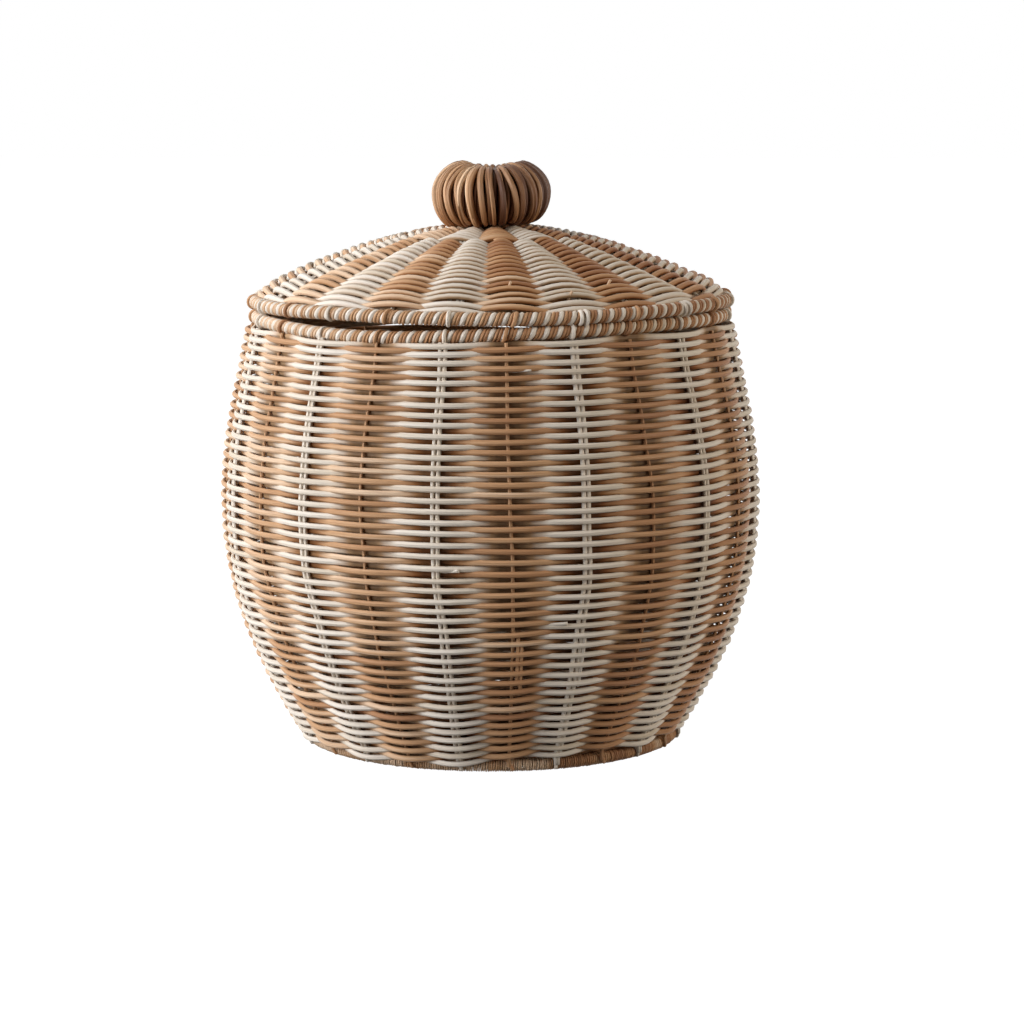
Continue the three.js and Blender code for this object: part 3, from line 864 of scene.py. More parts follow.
@dataclass(frozen=True)
class Wall:
    """The wall's outer form, and its two weavers, each one unbroken strand."""

    base: float = 7.0
    top: float = 271.4
    belly: float = 176.0
    shares: tuple[float, ...] = (0.722, 0.839, 0.93, 0.983, 0.9995, 0.984, 0.945, 0.9)  # of the belly
    strand: float = 1.82
    flat: float = 0.8
    swing: float = 3.05  # how far a strand passes outside and inside the stakes
    samples: int = 144
    courses: tuple[Course, ...] = (
        Course("cream", CREAM, seed=11, first=0, last=42, begin=14, column=1, left_painted_light=0.0),
        Course("tan", TAN, seed=12, first=0.5, last=41.5, begin=13, column=0, left_painted_light=LEFT_PAINTED_LIGHT),
    )
    rows: Profile = Profile(  # the height of each row at the front
        (0, 5, 10, 15, 20, 25, 30, 36, 40, 42),
        (9.2, 37.6, 67.6, 98.7, 129.8, 164.3, 197.0, 234.8, 259.6, 270.2),
    )
    sag: Profile = Profile((7, 40, 75, 115, 271), (2.6, 2.2, 1.2, 0.2, 0.1))
    climb: Zone = Zone(0.8, 1.0)  # the part of a turn in which a strand steps up a row
    climb_stake: int = 14
    spread: float = 0.32  # how much wider the inner passes are
    spread_from: float = 0.2
    close: float = 0.12  # how much wider the strands are at the back
    back: Zone = Zone(-0.3, -0.8)  # by the cosine of the azimuth
    tilt: float = 1.25  # of low strands in front, up on the right
    tilt_zone: Zone = Zone(140, 110)
    tilt_waves: float = 5.0
    tuck: float = 3.6  # how far the lowest strands rise on the right
    tuck_zone: Zone = Zone(64, 9)
    tuck_edge: float = -4.0
    tuck_width: float = 12.0
    floor: float = 5.5
    rim_zone: Zone = Zone(215, 271)
    rim_share: float = 0.6  # how far the top rows follow the rim's bend
    # Painted shade in the gaps, where a strand passes behind the other colour's: lighter on the left, where
    # the key lamp shines, and deeper low down.
    dark: float = 0.8  # how dark the gaps' painted shade is
    dark_left: float = 0.34
    dark_low: float = 0.32
    dark_from: float = 0.36  # the swing at which the gaps' painted shade starts, below 0
    dark_sooner: float = 0.16
    dark_width: float = 0.45
    low: Zone = Zone(150, 80)
    slit: Slit = Slit()
    lift: Waver = Waver(0.24, 9)
    sway: Waver = Waver(0.15, 14)
    tones: Waver = Waver(0.2, 110)

    def outer(self, height: np.ndarray | float) -> np.ndarray:
        """Returns the radius of the weave's outermost points at a height."""
        steps = len(self.shares) - 1
        places = tuple(self.base + (self.top - self.base) * i / steps for i in range(steps + 1))
        return Profile(places, tuple(self.belly * share for share in self.shares)).at(height)

    def middle(self, height: np.ndarray | float) -> np.ndarray:
        """Returns the radius of the weave's middle at a height."""
        return self.outer(height) - self.swing - self.strand * self.flat

    def lean(self, azimuth: np.ndarray, height: np.ndarray) -> np.ndarray:
        """Returns how far low strands are raised by their tilt and their tuck.

        Args:
            azimuth: Where they are, in radians from the front.
            height: How high they are.

        Returns:
            The rise at each place.
        """
        facing = 0.5 + 0.5 * np.cos(azimuth)
        tilt = np.sin(np.clip(self.tilt_waves * azimuth, -math.pi / 2, math.pi / 2)) * facing
        edge = np.tanh((np.degrees(azimuth) - self.tuck_edge) / self.tuck_width)
        tuck = 0.5 + 0.5 * edge * facing
        rise = self.tilt * tilt * self.tilt_zone.share(height)
        return rise + self.tuck * tuck * self.tuck_zone.share(height)

    def gap_shade(self, angle: np.ndarray, height: np.ndarray, swing: np.ndarray) -> np.ndarray:
        """Returns the shade painted on strands where they pass behind the other colour's.

        Args:
            angle: Where they are.
            height: How high they are.
            swing: How far out they are, from -1 inside to 1 outside.

        Returns:
            The shade at each place.
        """
        left = left_share(angle)
        low = (1 - left) * self.low.share(height)
        deep = self.dark - self.dark_left * left + self.dark_low * low
        inside = self.dark_sooner * low - self.dark_from - swing
        return deep * np.clip(inside / self.dark_width, 0, 1)

    def weaver(self, course: Course) -> Run:
        """Lays one weaver, level for most of each turn and stepping up a row at the back."""
        rng = np.random.default_rng(course.seed)
        count = int((course.last - course.first + 1) * self.samples)
        angle = stake_angle(course.begin) + TURN * np.arange(count) / self.samples
        azimuth = np.radians(azimuth_of(angle))
        turns = (angle - stake_angle(self.climb_stake)) / TURN
        whole = np.floor(turns)
        row = course.first + whole + eased(self.climb.share(turns - whole))
        level = self.rows.at(row)
        swing = np.cos(STAKES / 2 * (angle - stake_angle(course.column)))
        height = level - self.sag.at(level) * (0.5 + 0.5 * swing) + self.lift.along(rng, count)
        height = height + self.slit.at(angle, row) + self.lean(azimuth, level)
        near_rim = self.rim_zone.share(level) ** 2
        height = np.maximum(height, self.floor) + self.rim_share * near_rim * BODY_RIM.shift(angle)
        reach = self.middle(level) + self.swing * swing + self.sway.along(rng, count)
        wide = 1 + self.spread * np.clip(self.spread_from - swing, 0, 1)
        wide = wide + self.close * self.back.share(np.cos(azimuth))
        radius = self.strand * wide * (1 + GIRTH.along(rng, count))
        tone = 0.5 + self.tones.along(rng, count) + FLECKS.along(rng, count)
        # Painted light and shade: the tone is paler on the left and darker on the right.
        tone = painted_side_light(tone, angle, course.left_painted_light)
        angle = angle + DRIFT.at(angle, height) / reach
        press = polar(np.ones(count), angle, np.zeros(count))
        shade = self.gap_shade(angle, level, swing)
        return Run(polar(reach, angle, height), radius, tone, press=press, shade=shade)

    def build(self) -> None:
        """Lays both weavers."""
        for course in self.courses:
            name = f"wall_{course.colour}"
            nodes = (f"{name}_weavers",)
            bundle = Bundle(f"{name}_strands", course.finish, Body.BASKET, nodes=nodes, flat=self.flat)
            bundle.runs.append(self.weaver(course))
            bundle.lay()


@dataclass(frozen=True)
class StakeKind:
    """How the stakes of one colour are made."""

    node: str
    form: str
    finish: RattanFinish
    offsets: tuple[float, ...]  # of its strands beside the stake's middle
    radius: float
    proud: float  # how far it stands out from the weave's middle


@dataclass(frozen=True)
class Stakes:
    """The upright strands: pairs in cream and single ones in tan, tucked over the foot ring."""

    wall: Wall
    kinds: tuple[StakeKind, ...] = (
        StakeKind("tan_stake", "strand", TAN, (0.0,), 1.1, 0.2),
        StakeKind("cream_stake", "pair", CREAM, (-1.5, 1.5), 1.35, 1.0),
    )
    foot: float = 4.4
    foot_reach: float = 124.4
    tuck: float = 12.0  # how high above the foot they join the weave
    pinch: float = 0.55  # how close a pair is at the foot
    samples: int = 64
    wave: Waver = Waver(0.25, 9)
    short: tuple[tuple[int, float, float, float], ...] = (  # stake, offset, lowest and highest point
        (0, 3.0, 61, 96),
        (0, 5.1, 57, 92),
        (1, 4.3, 58, 97),
    )
    short_radius: float = 1.15
    short_proud: float = 1.9
    cuts: tuple[Triple, ...] = (  # azimuth, height, radius
        (-6.4, 134.5, 1.2),
        (16.0, 100.5, 1.2),
        (8.6, 254.2, 0.75),
    )
    cut_turn: float = 5.0
    cut_depth: tuple[float, float] = (5.5, 1.0)
    cut_rise: float = 1.2
    cut_samples: int = 9

    def path(self, index: int, offset: float, proud: float, seed: int) -> np.ndarray:
        """Returns the middle line of one strand.

        Args:
            index: The stake's number.
            offset: How far the strand lies beside the stake's middle.
            proud: How far it stands out from the weave's middle.
            seed: The seed of its irregularities.

        Returns:
            The points from the foot to the rim.
        """
        rng = np.random.default_rng(seed)
        angle = stake_angle(index)
        heights = np.linspace(self.foot, self.wall.top, self.samples)
        share = eased(Zone(self.foot, self.foot + self.tuck).share(heights))
        reach = self.foot_reach * (1 - share) + (self.wall.middle(heights) + proud) * share
        side = offset * (self.pinch + (1 - self.pinch) * share) + self.wave.along(rng, self.samples)
        side = side + DRIFT.at(np.full(self.samples, angle), heights)
        return polar(reach, angle + side / reach, heights)

    def build(self) -> None:
        """Lays every stake as a piece of its own."""
        for index in range(STAKES):
            kind = self.kinds[index % 2]
            node = f"{kind.node}_{index // 2 + 1:02d}"
            bundle = Bundle(f"{node}_{kind.form}", kind.finish, Body.BASKET, 6, (node,))
            rng = np.random.default_rng(100 + index)
            for side, offset in enumerate(kind.offsets):
                path = self.path(index, offset, kind.proud, 200 + 2 * index + side)
                bundle.add(path, kind.radius, float(rng.uniform(0.3, 0.7)))
            bundle.lay()
        self.ends()

    def ends(self) -> None:
        """Lays the short stakes beside two of the front ones and the cut ends of the weavers."""
        cream = Bundle("wall_cream_ends", CREAM, Body.BASKET, 6)
        tan = Bundle("wall_tan_ends", TAN, Body.BASKET, 6)
        for index, offset, bottom, top in self.short:
            path = self.path(index, offset, self.short_proud, 300 + index)
            part = path[(path[:, 2] > bottom) & (path[:, 2] < top)]
            (cream if index % 2 else tan).add(part, self.short_radius, 0.6)
        for azimuth, height, radius in self.cuts:
            angle = np.radians(azimuth - 90 + np.linspace(-self.cut_turn, 0, self.cut_samples))
            reach = self.wall.outer(height) - np.linspace(*self.cut_depth, self.cut_samples)
            heights = height + np.linspace(0, self.cut_rise, self.cut_samples)
            cream.add(polar(reach, angle, heights), radius, 0.8)
        cream.lay()
        tan.lay()


# The lid


@dataclass(frozen=True)
class LidForm:
    """The lid's outer form and the middle of its weave."""

    places: tuple[float, ...] = (0, 30, 55, 80.7, 100, 117.5, 131.6, 145, 151)
    heights: tuple[float, ...] = (336.4, 334.2, 330.0, 323.5, 316.8, 310.2, 303.8, 296.8, 291.2)
    strand: float = 2.22
    flat: float = 0.86
    swing: float = 3.1
    step: float = 0.5

    def outer(self, radius: np.ndarray | float) -> np.ndarray:
        """Returns the height of the weave's highest points at a radius."""
        return Profile(self.places, self.heights).at(radius)

    def frame(self, radius: np.ndarray) -> tuple[np.ndarray, np.ndarray, np.ndarray, np.ndarray]:
        """Follows the middle of the weave.

        Args:
            radius: The radius on the outer form.

        Returns:
            The middle's radius and height, and the outward direction as its two parts.
        """
        slope = (self.outer(radius + self.step) - self.outer(radius - self.step)) / (2 * self.step)
        length = np.sqrt(1 + slope * slope)
        out, up = -slope / length, 1 / length
        depth = self.swing + self.strand * self.flat
        return radius - depth * out, self.outer(radius) - depth * up, out, up


@dataclass(frozen=True)
class LidZone:
    """A zone of the lid's weave."""

    start: float
    end: float
    waves: int  # how many times a weaver rises in a turn
    samples: int
    overrun: int = 0  # samples more at the last radius


LID_HUB = LidZone(9.8, 19.0, STAKES // 4, 96)
LID_INNER = LidZone(21.4, 56.0, STAKES // 4, 96)
LID_OUTER = LidZone(58.5, 150.4, STAKES // 2, 144, overrun=72)


@dataclass(frozen=True)
class Spiral:
    """One weaver of one zone of the lid."""

    zone: LidZone
    seed: int
    begin: float
    stake: int  # over whose column it rises


@dataclass(frozen=True)
class LidWeave:
    """The lid's two weavers: twelve columns round the knob, then twenty-four."""

    form: LidForm
    # Painted light and shade: how much paler tan is painted on the left than in front, darker on the right.
    left_painted_light: float = 0.45
    pitch: Profile = Profile(  # how far a spiral moves out in a turn
        (10, 57, 75, 90, 115, 140, 151),
        (4.9, 5.0, 5.3, 5.7, 5.9, 5.7, 5.0),
    )
    edge: float = 150.4
    slim: float = 0.82  # the strands' radius between columns, as a share
    stray: Waver = Waver(0.25, 10)
    loose: Zone = Zone(128, 150)  # the radii over which spirals stray further
    loose_gain: float = 2.0
    rim_zone: Zone = Zone(110, 150)
    # Painted shade in the gaps and on the rows' flanks, lighter on the left, where the key lamp shines.
    dark_from: float = 0.15  # the wave at which the painted gap shade starts, below 0
    dark_left: float = 0.6
    flank_shade: float = 0.85  # how dark the painted shade on the rows' flanks is
    flank_left: float = 0.8
    flank_from: float = 0.2
    tones: Waver = Waver(0.26, 50)
    ends: tuple[tuple[float, float], ...] = ((4.6, 129), (19.6, 141), (33.4, 130))  # azimuth and radius
    end_turn: float = 0.012
    end_stand: float = 1.4
    end_radius: float = 0.85
    end_samples: int = 6

    def rows(self, zone: LidZone) -> np.ndarray:
        """Returns the radius of each sample of a spiral through a zone."""
        radii = [zone.start]
        while radii[-1] < zone.end:
            radii.append(radii[-1] + float(self.pitch.at(radii[-1])) / zone.samples)
        return np.array(radii + [zone.end] * zone.overrun)

    def weaver(self, spiral: Spiral, left_painted_light: float) -> Run:
        """Lays one weaver of one zone.

        Args:
            spiral: Its course.
            left_painted_light: How much paler it is on the left than in front.

        Returns:
            The run.
        """
        rng = np.random.default_rng(spiral.seed)
        radii = self.rows(spiral.zone)
        count = len(radii)
        angle = spiral.begin + TURN * np.arange(count) / spiral.zone.samples
        wave = np.cos(spiral.zone.waves * (angle - stake_angle(spiral.stake)))
        stray = 1 + self.loose_gain * self.loose.share(radii)
        radii = radii + stray * self.stray.along(rng, count)
        middle, height, out, up = self.form.frame(np.clip(radii, 1, self.edge))
        swing = self.form.swing * wave + SWAY.along(rng, count)
        slim = self.slim + (1 - self.slim) * np.abs(wave)
        radius = self.form.strand * slim * (1 + GIRTH.along(rng, count))
        tone = 0.5 + self.tones.along(rng, count) + FLECKS.along(rng, count)
        turned = angle + LID_TURN
        height = height + up * swing + self.rim_zone.share(radii) ** 2 * LID_RIM.shift(turned)
        points = polar(middle + out * swing, turned, height)
        # Painted shade on the inner passes and the rows' flanks, less on the left; the tone is painted
        # paler on the left.
        left = left_share(angle)
        shade = np.clip(-self.dark_from - wave, 0, 1) * (1 - self.dark_left * left)
        flank_shade = (self.flank_shade - self.flank_left * left) * np.clip(wave + self.flank_from, 0, 1)
        press = polar(out, turned, up)
        return Run(points, radius, painted_side_light(tone, angle, left_painted_light), press=press, shade=shade, flank_shade=flank_shade)

    def build(self) -> None:
        """Lays both weavers, the hub and the stray ends."""
        other = SEAM + math.pi
        pieces = (
            ("lid_cream_strands", "lid_cream_weavers", CREAM, 0.0,
             (Spiral(LID_INNER, 31, SEAM, 2), Spiral(LID_OUTER, 33, SEAM, 1))),
            ("lid_tan_strands", "lid_tan_weavers", TAN, self.left_painted_light,
             (Spiral(LID_INNER, 32, other, 0), Spiral(LID_OUTER, 34, other, 0))),
            ("lid_hub_strands", "lid_hub", TAN, self.left_painted_light,
             (Spiral(LID_HUB, 35, SEAM, 0), Spiral(LID_HUB, 36, other, 2))),
        )
        for name, node, finish, left_painted_light, spirals in pieces:
            bundle = Bundle(name, finish, Body.LID, nodes=(node,), flat=self.form.flat)
            bundle.runs.extend(self.weaver(spiral, left_painted_light) for spiral in spirals)
            bundle.lay()
        ends = Bundle("lid_tan_ends", TAN, Body.LID, 6)
        for azimuth, reach in self.ends:
            middle, height, out, up = self.form.frame(np.full(self.end_samples, reach))
            tip = self.form.swing + self.form.strand + self.end_stand
            depth = np.linspace(0, tip, self.end_samples)
            angle = math.radians(azimuth - 90) + np.linspace(0, self.end_turn, self.end_samples)
            ends.add(polar(middle + out * depth, angle, height + up * depth), self.end_radius, 0.9)
        ends.lay()


@dataclass(frozen=True)
class LidSpokes:
    """The strands under the lid's weave: twelve straight ones and twelve pairs that turn aside."""

    form: LidForm
    strands: tuple[tuple[float, bool, float], ...] = (  # offset, whether it turns aside, tone
        (0.0, False, 0.2),
        (2.6, True, 0.5),
        (5.2, True, 0.6),
    )
    start: float = 17.0
    reach: float = 149.0
    aside: Zone = Zone(53, 67)  # the radii over which they move one column on
    radius: float = 1.3
    samples: int = 60

    def build(self) -> None:
        """Lays every pair of spokes as a piece of its own."""
        radii = np.linspace(self.start, self.reach, self.samples)
        middle, height, _, _ = self.form.frame(radii)
        share = eased(self.aside.share(radii))
        for pair in range(STAKES // 2):
            number = f"{pair + 1:02d}"
            nodes = (f"lid_spoke_pair_{number}",)
            bundle = Bundle(f"lid_spokes_{number}_strands", CREAM, Body.LID, 6, nodes)
            for offset, turns_aside, tone in self.strands:
                angle = stake_angle(2 * pair) + LID_TURN + turns_aside * share * STAKE_STEP
                bundle.add(polar(middle, angle + offset / middle, height), self.radius, tone)
            bundle.lay()


# The knob


@dataclass(frozen=True)
class Knob:
    """The knob: one strand wound some fifty times through the eye of a ring."""

    base: float = 336.2
    height: float = 40.9
    width: float = 38.7
    eye: float = 12.6
    peak: float = 19.0  # the radius at which it is highest
    strand: float = 1.8
    turns: int = 53
    samples: int = 36
    bottom: float = 0.75  # the share of a turn at its lowest point
    slant: float = 0.08  # how far a turn leans sideways
    crowd: Zone = Zone(0.62, 0.27)  # where every other turn moves inwards
    crowd_depth: float = 1.7  # in radii
    dip: float = 3.7  # of the top at the front and back
    settle: float = 1.4  # how much lower the foot is on the left
    tone: float = 0.48
    painted_side_shade: float = 0.31  # painted light and shade: how much darker it is painted on the right, and paler on the left
    foot_shade: float = 1.2
    foot: Zone = Zone(0.36, 0.0)  # as shares of the height
    inset: Waver = Waver(0.6, 18, 1.0)
    slack: Waver = Waver(0.042, 18)
    kinks: Waver = Waver(0.024, 9)
    tones: Waver = Waver(0.34, 36)
    girth: Waver = Waver(0.12, 36, 1.6)
    layers: tuple[tuple[int, float, float], ...] = ((49, 2.3, 1.7), (30, 6.0, 2.2))  # turns, depth, radius
    layer_samples: int = 24
    layer_slack: Waver = Waver(0.03, 12)
    layer_shade: float = 0.45

    def section(self, share: np.ndarray, inset: np.ndarray | float) -> tuple[np.ndarray, np.ndarray]:
        """Follows the closed section of the knob.

        Args:
            share: The share of the way round, 0 outwards and 0.25 at the peak.
            inset: How far inside the section to lie.

        Returns:
            The radius and the height.
        """
        turn = TURN * share
        loop = self.height - 2 * self.strand
        middle = (self.eye + self.width - self.strand) / 2
        half = (self.width - self.strand - self.eye) / 2
        lean = (middle - self.peak) * np.clip(np.sin(turn), 0, 1) ** 2
        across = middle + (half - inset) * np.cos(turn) - lean
        return across, self.base + loop / 2 * (1 + np.sin(turn)) - inset * np.sin(turn)

    def sink(self, around: np.ndarray, height: np.ndarray) -> np.ndarray:
        """Returns how far the knob sinks: its top at the front and back, its foot on the left."""
        share = np.clip((height - self.base) / self.height, 0, 1)
        dip = self.dip * np.sin(around) ** 2
        return dip * share**2 - self.settle * np.cos(around) * (1 - share) ** 2

    def build(self) -> None:
        """Winds the knob and ties it."""
        rng = np.random.default_rng(51)
        count = self.turns * self.samples
        place = np.arange(count) / self.samples
        share = self.bottom + place
        face = 0.5 + 0.5 * np.cos(TURN * share)
        layer = (np.floor(place + 0.5).astype(int) % 2).astype(float)
        crowd = layer * self.crowd.share(face) * self.strand * self.crowd_depth
        across, height = self.section(share, crowd + self.inset.along(rng, count))
        around = TURN * place / self.turns
        height = height - self.sink(around, height)
        slack = (self.slack.along(rng, count) + self.kinks.along(rng, count)) * face
        slack = slack - self.slant * np.sin(TURN * share)
        # Painted light and shade: the tone is darker on the right and paler on the left.
        tone = self.tone + self.tones.along(rng, count) - self.painted_side_shade * np.cos(around)
        radius = self.strand * (1 + self.girth.along(rng, count))
        knob = Bundle("knob_strand", BROWN, Body.LID, nodes=("knob_winding",))
        run = knob.add(polar(across, around + slack, height), radius, np.clip(tone, 0, 1))
        run.shade = self.foot_shade * self.foot.share((height - self.base) / self.height)
        knob.lay()
        self.pack()
        Lashing(self.base + self.height).build()

    def pack(self) -> None:
        """Winds the turns that fill the knob under its outer ones."""
        packing = Bundle("knob_core_strands", CORE, Body.LID, 6, ("knob_core",))
        rng = np.random.default_rng(52)
        for turns, depth, radius in self.layers:
            count = turns * self.layer_samples
            place = np.arange(count) / self.layer_samples
            across, height = self.section(self.bottom + place, depth)
            around = TURN * place / turns
            height = height - self.sink(around, height)
            face = 0.5 + 0.5 * np.cos(TURN * (self.bottom + place))
            around = around + self.layer_slack.along(rng, count) * face
            run = packing.add(polar(across, around, height), radius, 0.1)
            run.shade = np.full(count, self.layer_shade)
        packing.lay()


@dataclass(frozen=True)
class Lashing:
    """The crossing strands that tie the knob down through its eye."""

    knob_top: float
    strands: int = 4
    turn: float = 0.3
    reach: float = 9.2  # from the middle, where they go down
    depth: float = 12.0  # below the knob's top
    step: float = 0.6
    foot: float = 318.0
    arch: float = 2.2
    curl: float = 1.2  # how far they swing sideways
    radius: float = 1.5
    tones: tuple[float, float] = (0.3, 0.1)  # the first one's, and the step to the next
    samples: int = 40

    def build(self) -> None:
        """Lays the strands."""
        lashing = Bundle("knob_lashing_strands", BROWN, Body.LID, nodes=("knob_lashing",))
        share = np.linspace(-1, 1, self.samples)
        along = self.reach * np.sin(share * math.pi / 2)
        side = self.curl * np.sin(share * math.pi)
        for index in range(self.strands):
            angle = index * math.pi / self.strands + self.turn
            top = self.knob_top - self.depth - self.step * index
            height = top - np.abs(share) ** 3 * (top - self.foot) + self.arch * (1 - share**2)
            tone = self.tones[0] + self.tones[1] * index
            lashing.add(crossing(angle, along, side, height), self.radius, tone)
        lashing.lay()


# The bottom


@dataclass(frozen=True)
class Bottom:
    """The woven bottom: two strands that spiral over twelve crossing spokes."""

    height: float = 8.3
    start: float = 9.0
    reach: float = 118.6
    pitch: float = 5.4
    strand: float = 1.95
    slim: float = 0.76  # the strands' radius between spokes, as a share
    swing: float = 2.2
    samples: int = 96
    sway: Waver = Waver(0.1, 12)
    tones: Waver = Waver(0.26, 90)
    spoke_radius: float = 1.2
    spoke_gap: float = 1.4
    spoke_step: float = 0.9  # how far each spoke lies above the one before
    cross_reach: float = 9.0  # how near the middle that is
    spoke_tones: tuple[float, float] = (0.35, 0.05)  # the first one's, and the step to the next
    spoke_samples: int = 40

    def weaver(self, seed: int, begin: float, peak: float) -> Run:
        """Lays one spiral weaver.

        Args:
            seed: The seed of its irregularities.
            begin: The angle where it starts.
            peak: An angle where it passes over a spoke.

        Returns:
            The run.
        """
        rng = np.random.default_rng(seed)
        count = int((self.reach - self.start) / self.pitch * self.samples)
        angle = begin + TURN * np.arange(count) / self.samples
        radii = self.start + self.pitch * np.arange(count) / self.samples
        wave = np.cos(STAKES / 4 * (angle - peak))
        height = self.height + self.swing * wave + self.sway.along(rng, count)
        tone = np.clip(0.5 + self.tones.along(rng, count), 0, 1)
        radius = self.strand * (self.slim + (1 - self.slim) * np.abs(wave))
        return Run(polar(radii, angle, height), radius, tone)

    def build(self) -> None:
        """Lays both weavers and the spokes."""
        weave = Bundle("bottom_strands", TAN, Body.BASKET, 6, ("bottom_weave",))
        weave.runs.append(self.weaver(41, SEAM, stake_angle(0)))
        weave.runs.append(self.weaver(42, SEAM + math.pi, stake_angle(2)))
        weave.lay()
        bundle = Bundle("bottom_spoke_strands", TAN, Body.BASKET, 6, ("bottom_spokes",))
        along = np.linspace(-self.reach, self.reach, self.spoke_samples)
        near = np.exp(-((along / self.cross_reach) ** 2))
        spokes = STAKES // 4
        for index in range(spokes):
            height = self.height + (index - (spokes - 1) / 2) * self.spoke_step * near
            tone = self.spoke_tones[0] + self.spoke_tones[1] * index
            for side in (-self.spoke_gap, self.spoke_gap):
                points = crossing(stake_angle(2 * index), along, side, height)
                bundle.add(points, self.spoke_radius, tone)
        bundle.lay()


# Rims, foot and ties


@dataclass(frozen=True)
class Edges:
    """Both rims, the foot ring, the ring that seats the lid, and the ties."""

    rings: tuple[Ring, ...] = (BODY_RIM, LID_RIM, FOOT)
    ties: tuple[Tie, ...] = (
        Tie(BODY_RIM, -105, 200),
        Tie(LID_RIM, -120, 190, turn=LID_TURN),
        Tie(FOOT, 100, -50, radius=1.1),
    )
    tie_spread: float = 0.004  # in radians
    tie_leans: tuple[float, float] = (5.5, 0.8)  # tan and cream
    tie_tones: tuple[tuple[float, float], ...] = ((0.2, 0.6), (0.4, 0.7))  # tan and cream
    doubled: tuple[int, ...] = (1, 3)  # the lid's ties with a second strand beside them
    double_gap: float = 3.4
    double_lean: float = -0.9
    double_stand: float = 0.8
    seat_radius: float = 146.4
    seat_drop: float = 1.9  # under the lid's rim
    seat_strand: float = 1.9
    wire: float = 1.5
    samples: int = 240

    def build(self) -> None:
        """Winds the rings, lays the hoops and ties the rings to the stakes."""
        for ring in self.rings:
            ring.build()
        seat = Bundle("lid_seat_strand", CREAM, Body.LID, nodes=("lid_seat_ring",))
        seat.add(self.circle(LID_RIM, self.seat_radius, self.seat_drop), self.seat_strand, 0.8, True)
        seat.lay()
        for ring in self.rings:
            hoop = Bundle(f"{ring.label}_wire", WIRE, ring.body, 6, (f"{ring.label}_hoop",))
            hoop.add(self.circle(ring, ring.radius, 0.0), self.wire, 0.5, True)
            hoop.lay()
        rng = np.random.default_rng(71)
        for tie in self.ties:
            self.tie(tie, rng)

    def circle(self, ring: Ring, radius: float, drop: float) -> np.ndarray:
        """Returns a circle that follows a ring's bend.

        Args:
            ring: The ring.
            radius: The circle's radius.
            drop: How far under the ring it lies.

        Returns:
            The points.
        """
        angle = np.linspace(0, TURN, self.samples, endpoint=False)
        return polar(np.full(self.samples, radius), angle, ring.height - drop + ring.shift(angle))

    def tie(self, tie: Tie, rng: np.random.Generator) -> None:
        """Ties each stake or spoke to a ring.

        Args:
            tie: How the ring is tied.
            rng: The ties' own random numbers.
        """
        ring = tie.ring
        tan = Bundle(f"{ring.label}_tan_ties", TAN, ring.body)
        cream = Bundle(f"{ring.label}_cream_ties", CREAM, ring.body)
        for index in range(STAKES):
            kind = index % 2
            angle = stake_angle(index) + tie.turn + float(rng.normal(0, self.tie_spread))
            if ring.body is Body.BASKET:
                angle += float(DRIFT.at(np.array([angle]), np.array([ring.height]))[0]) / ring.radius
            tone = float(rng.uniform(*self.tie_tones[kind]))
            (tan, cream)[kind].add(tie.loop(angle, self.tie_leans[kind]), tie.radius, tone)
            if ring is LID_RIM and index in self.doubled:
                beside = replace(tie, stand=self.double_stand)
                path = beside.loop(angle + self.double_gap / ring.radius, self.double_lean)
                cream.add(path, tie.radius, 0.7)
        cream.lay()
        tan.lay()


# Studio


@dataclass(frozen=True)
class Lamp:
    """A soft square lamp that faces the basket."""

    name: str
    place: Triple
    size: float  # in metres
    power: float  # in watts
    tint: Triple
    aim: Triple = (0.0, 0.0, 0.19)

    def hang(self) -> None:
        """Adds the lamp to the scene."""
        data = bpy.data.lights.new(self.name, "AREA")
        data.shape = "SQUARE"
        data.size = self.size
        data.energy = self.power
        data.color = self.tint
        lamp = add_object(self.name, data)
        lamp.location = self.place
        way = Vector(self.aim) - Vector(self.place)
        lamp.rotation_euler = way.to_track_quat("-Z", "Y").to_euler()


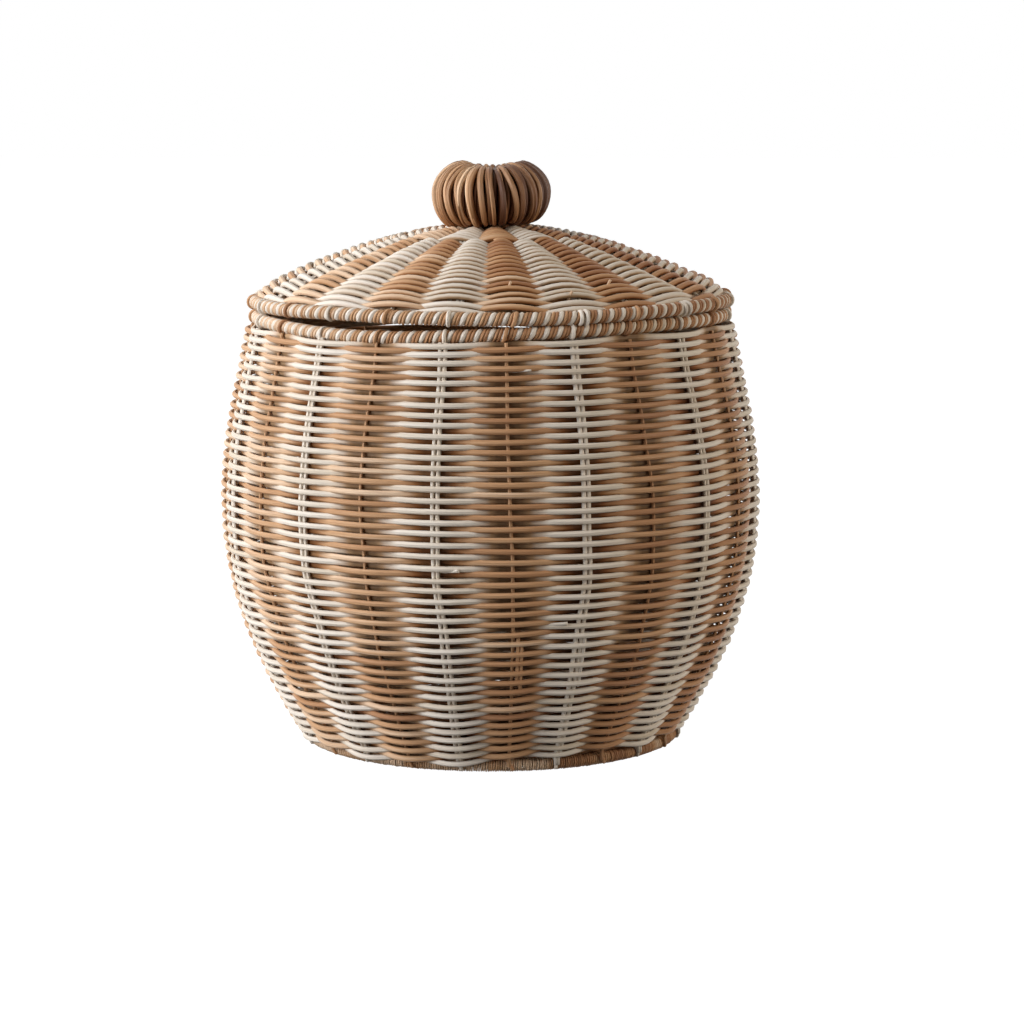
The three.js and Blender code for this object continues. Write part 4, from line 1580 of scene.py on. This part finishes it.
@dataclass(frozen=True)
class Studio:
    """The floor, the lights and the camera."""

    camera_place: Triple = (0.0, -2.0606, 0.4414)
    pitch: float = 8.134  # in degrees, downwards
    yaw: float = 0.378  # in degrees, to the right
    lens: float = 111.92
    sensor: float = 36.0
    lamps: tuple[Lamp, ...] = (
        Lamp("key", (-1.92, -0.76, 1.03), 2.2, 87.0, (0.95, 0.98, 1.05)),
        Lamp("fill", (1.85, -0.6, 0.8), 1.0, 21.0, (1.0, 0.94, 0.86)),
        Lamp("back", (-1.4, 1.4, 1.5), 1.6, 8.0, (1.0, 1.0, 1.0)),
    )
    floor_size: float = 12.0
    floor_light: float = 0.2  # how much light it throws back at the basket
    floor_glow: float = 1.25  # how strongly the seen floor shines
    floor_share: float = 0.8  # of that glow, where the rest takes the shadow
    soft_light: float = 0.04  # from all round

    def build(self) -> None:
        """Sets up everything round the object."""
        self.camera()
        self.floor()
        self.world()
        for lamp in self.lamps:
            lamp.hang()
        bpy.context.scene.view_settings.view_transform = "Standard"

    def camera(self) -> None:
        """Places the camera at the photographed angle."""
        data = bpy.data.cameras.new("camera")
        data.lens = self.lens
        data.sensor_width = self.sensor
        camera = add_object("camera", data)
        camera.location = self.camera_place
        camera.rotation_euler = (math.radians(90 - self.pitch), 0.0, math.radians(-self.yaw))
        bpy.context.scene.camera = camera

    def floor(self) -> None:
        """Lays a pale floor that keeps the shadow and otherwise shows white."""
        shell = bmesh.new()
        bmesh.ops.create_grid(shell, x_segments=1, y_segments=1, size=self.floor_size)
        mesh = bpy.data.meshes.new("floor")
        shell.to_mesh(mesh)
        shell.free()
        floor = add_object("floor", mesh)
        material = bpy.data.materials.new("floor_paper")
        graph = Graph(material)
        grey = (self.floor_light, self.floor_light, self.floor_light, 1.0)
        matte = graph.node("ShaderNodeBsdfDiffuse", {"Color": grey})
        white = graph.node("ShaderNodeBsdfDiffuse", {"Color": (1.0, 1.0, 1.0, 1.0)})
        glow = graph.node("ShaderNodeEmission", {"Color": (1, 1, 1, 1), "Strength": self.floor_glow})
        paper = graph.blend(self.floor_share, white, glow)
        graph.show(graph.blend(self.seen(graph), matte, paper))
        mesh.materials.append(material)

    def seen(self, graph: Graph) -> Value:
        """Returns 1 for rays that show the background and 0 for rays that light the object."""
        path = graph.node("ShaderNodeLightPath")
        camera, glossy, through = (
            Value(graph, path.outputs[name])
            for name in ("Is Camera Ray", "Is Glossy Ray", "Is Transmission Ray")
        )
        return (camera + glossy + through).clamped()

    def world(self) -> None:
        """Lights the scene softly from all round, with a white background."""
        world = bpy.data.worlds.new("studio")
        bpy.context.scene.world = world
        graph = Graph(world)
        soft, white = (
            graph.node("ShaderNodeBackground", {"Color": (1, 1, 1, 1), "Strength": strength})
            for strength in (self.soft_light, 1.0)
        )
        graph.show(graph.blend(self.seen(graph), soft, white), "ShaderNodeOutputWorld")


def main() -> None:
    """Builds the basket, then the studio round it."""
    logging.basicConfig(level=logging.INFO, format="%(message)s")
    wall = Wall()
    form = LidForm()
    for part in (wall, Stakes(wall), Bottom(), Edges(), LidWeave(form), LidSpokes(form), Knob()):
        part.build()
    Studio().build()


if __name__ == "__main__":
    main()
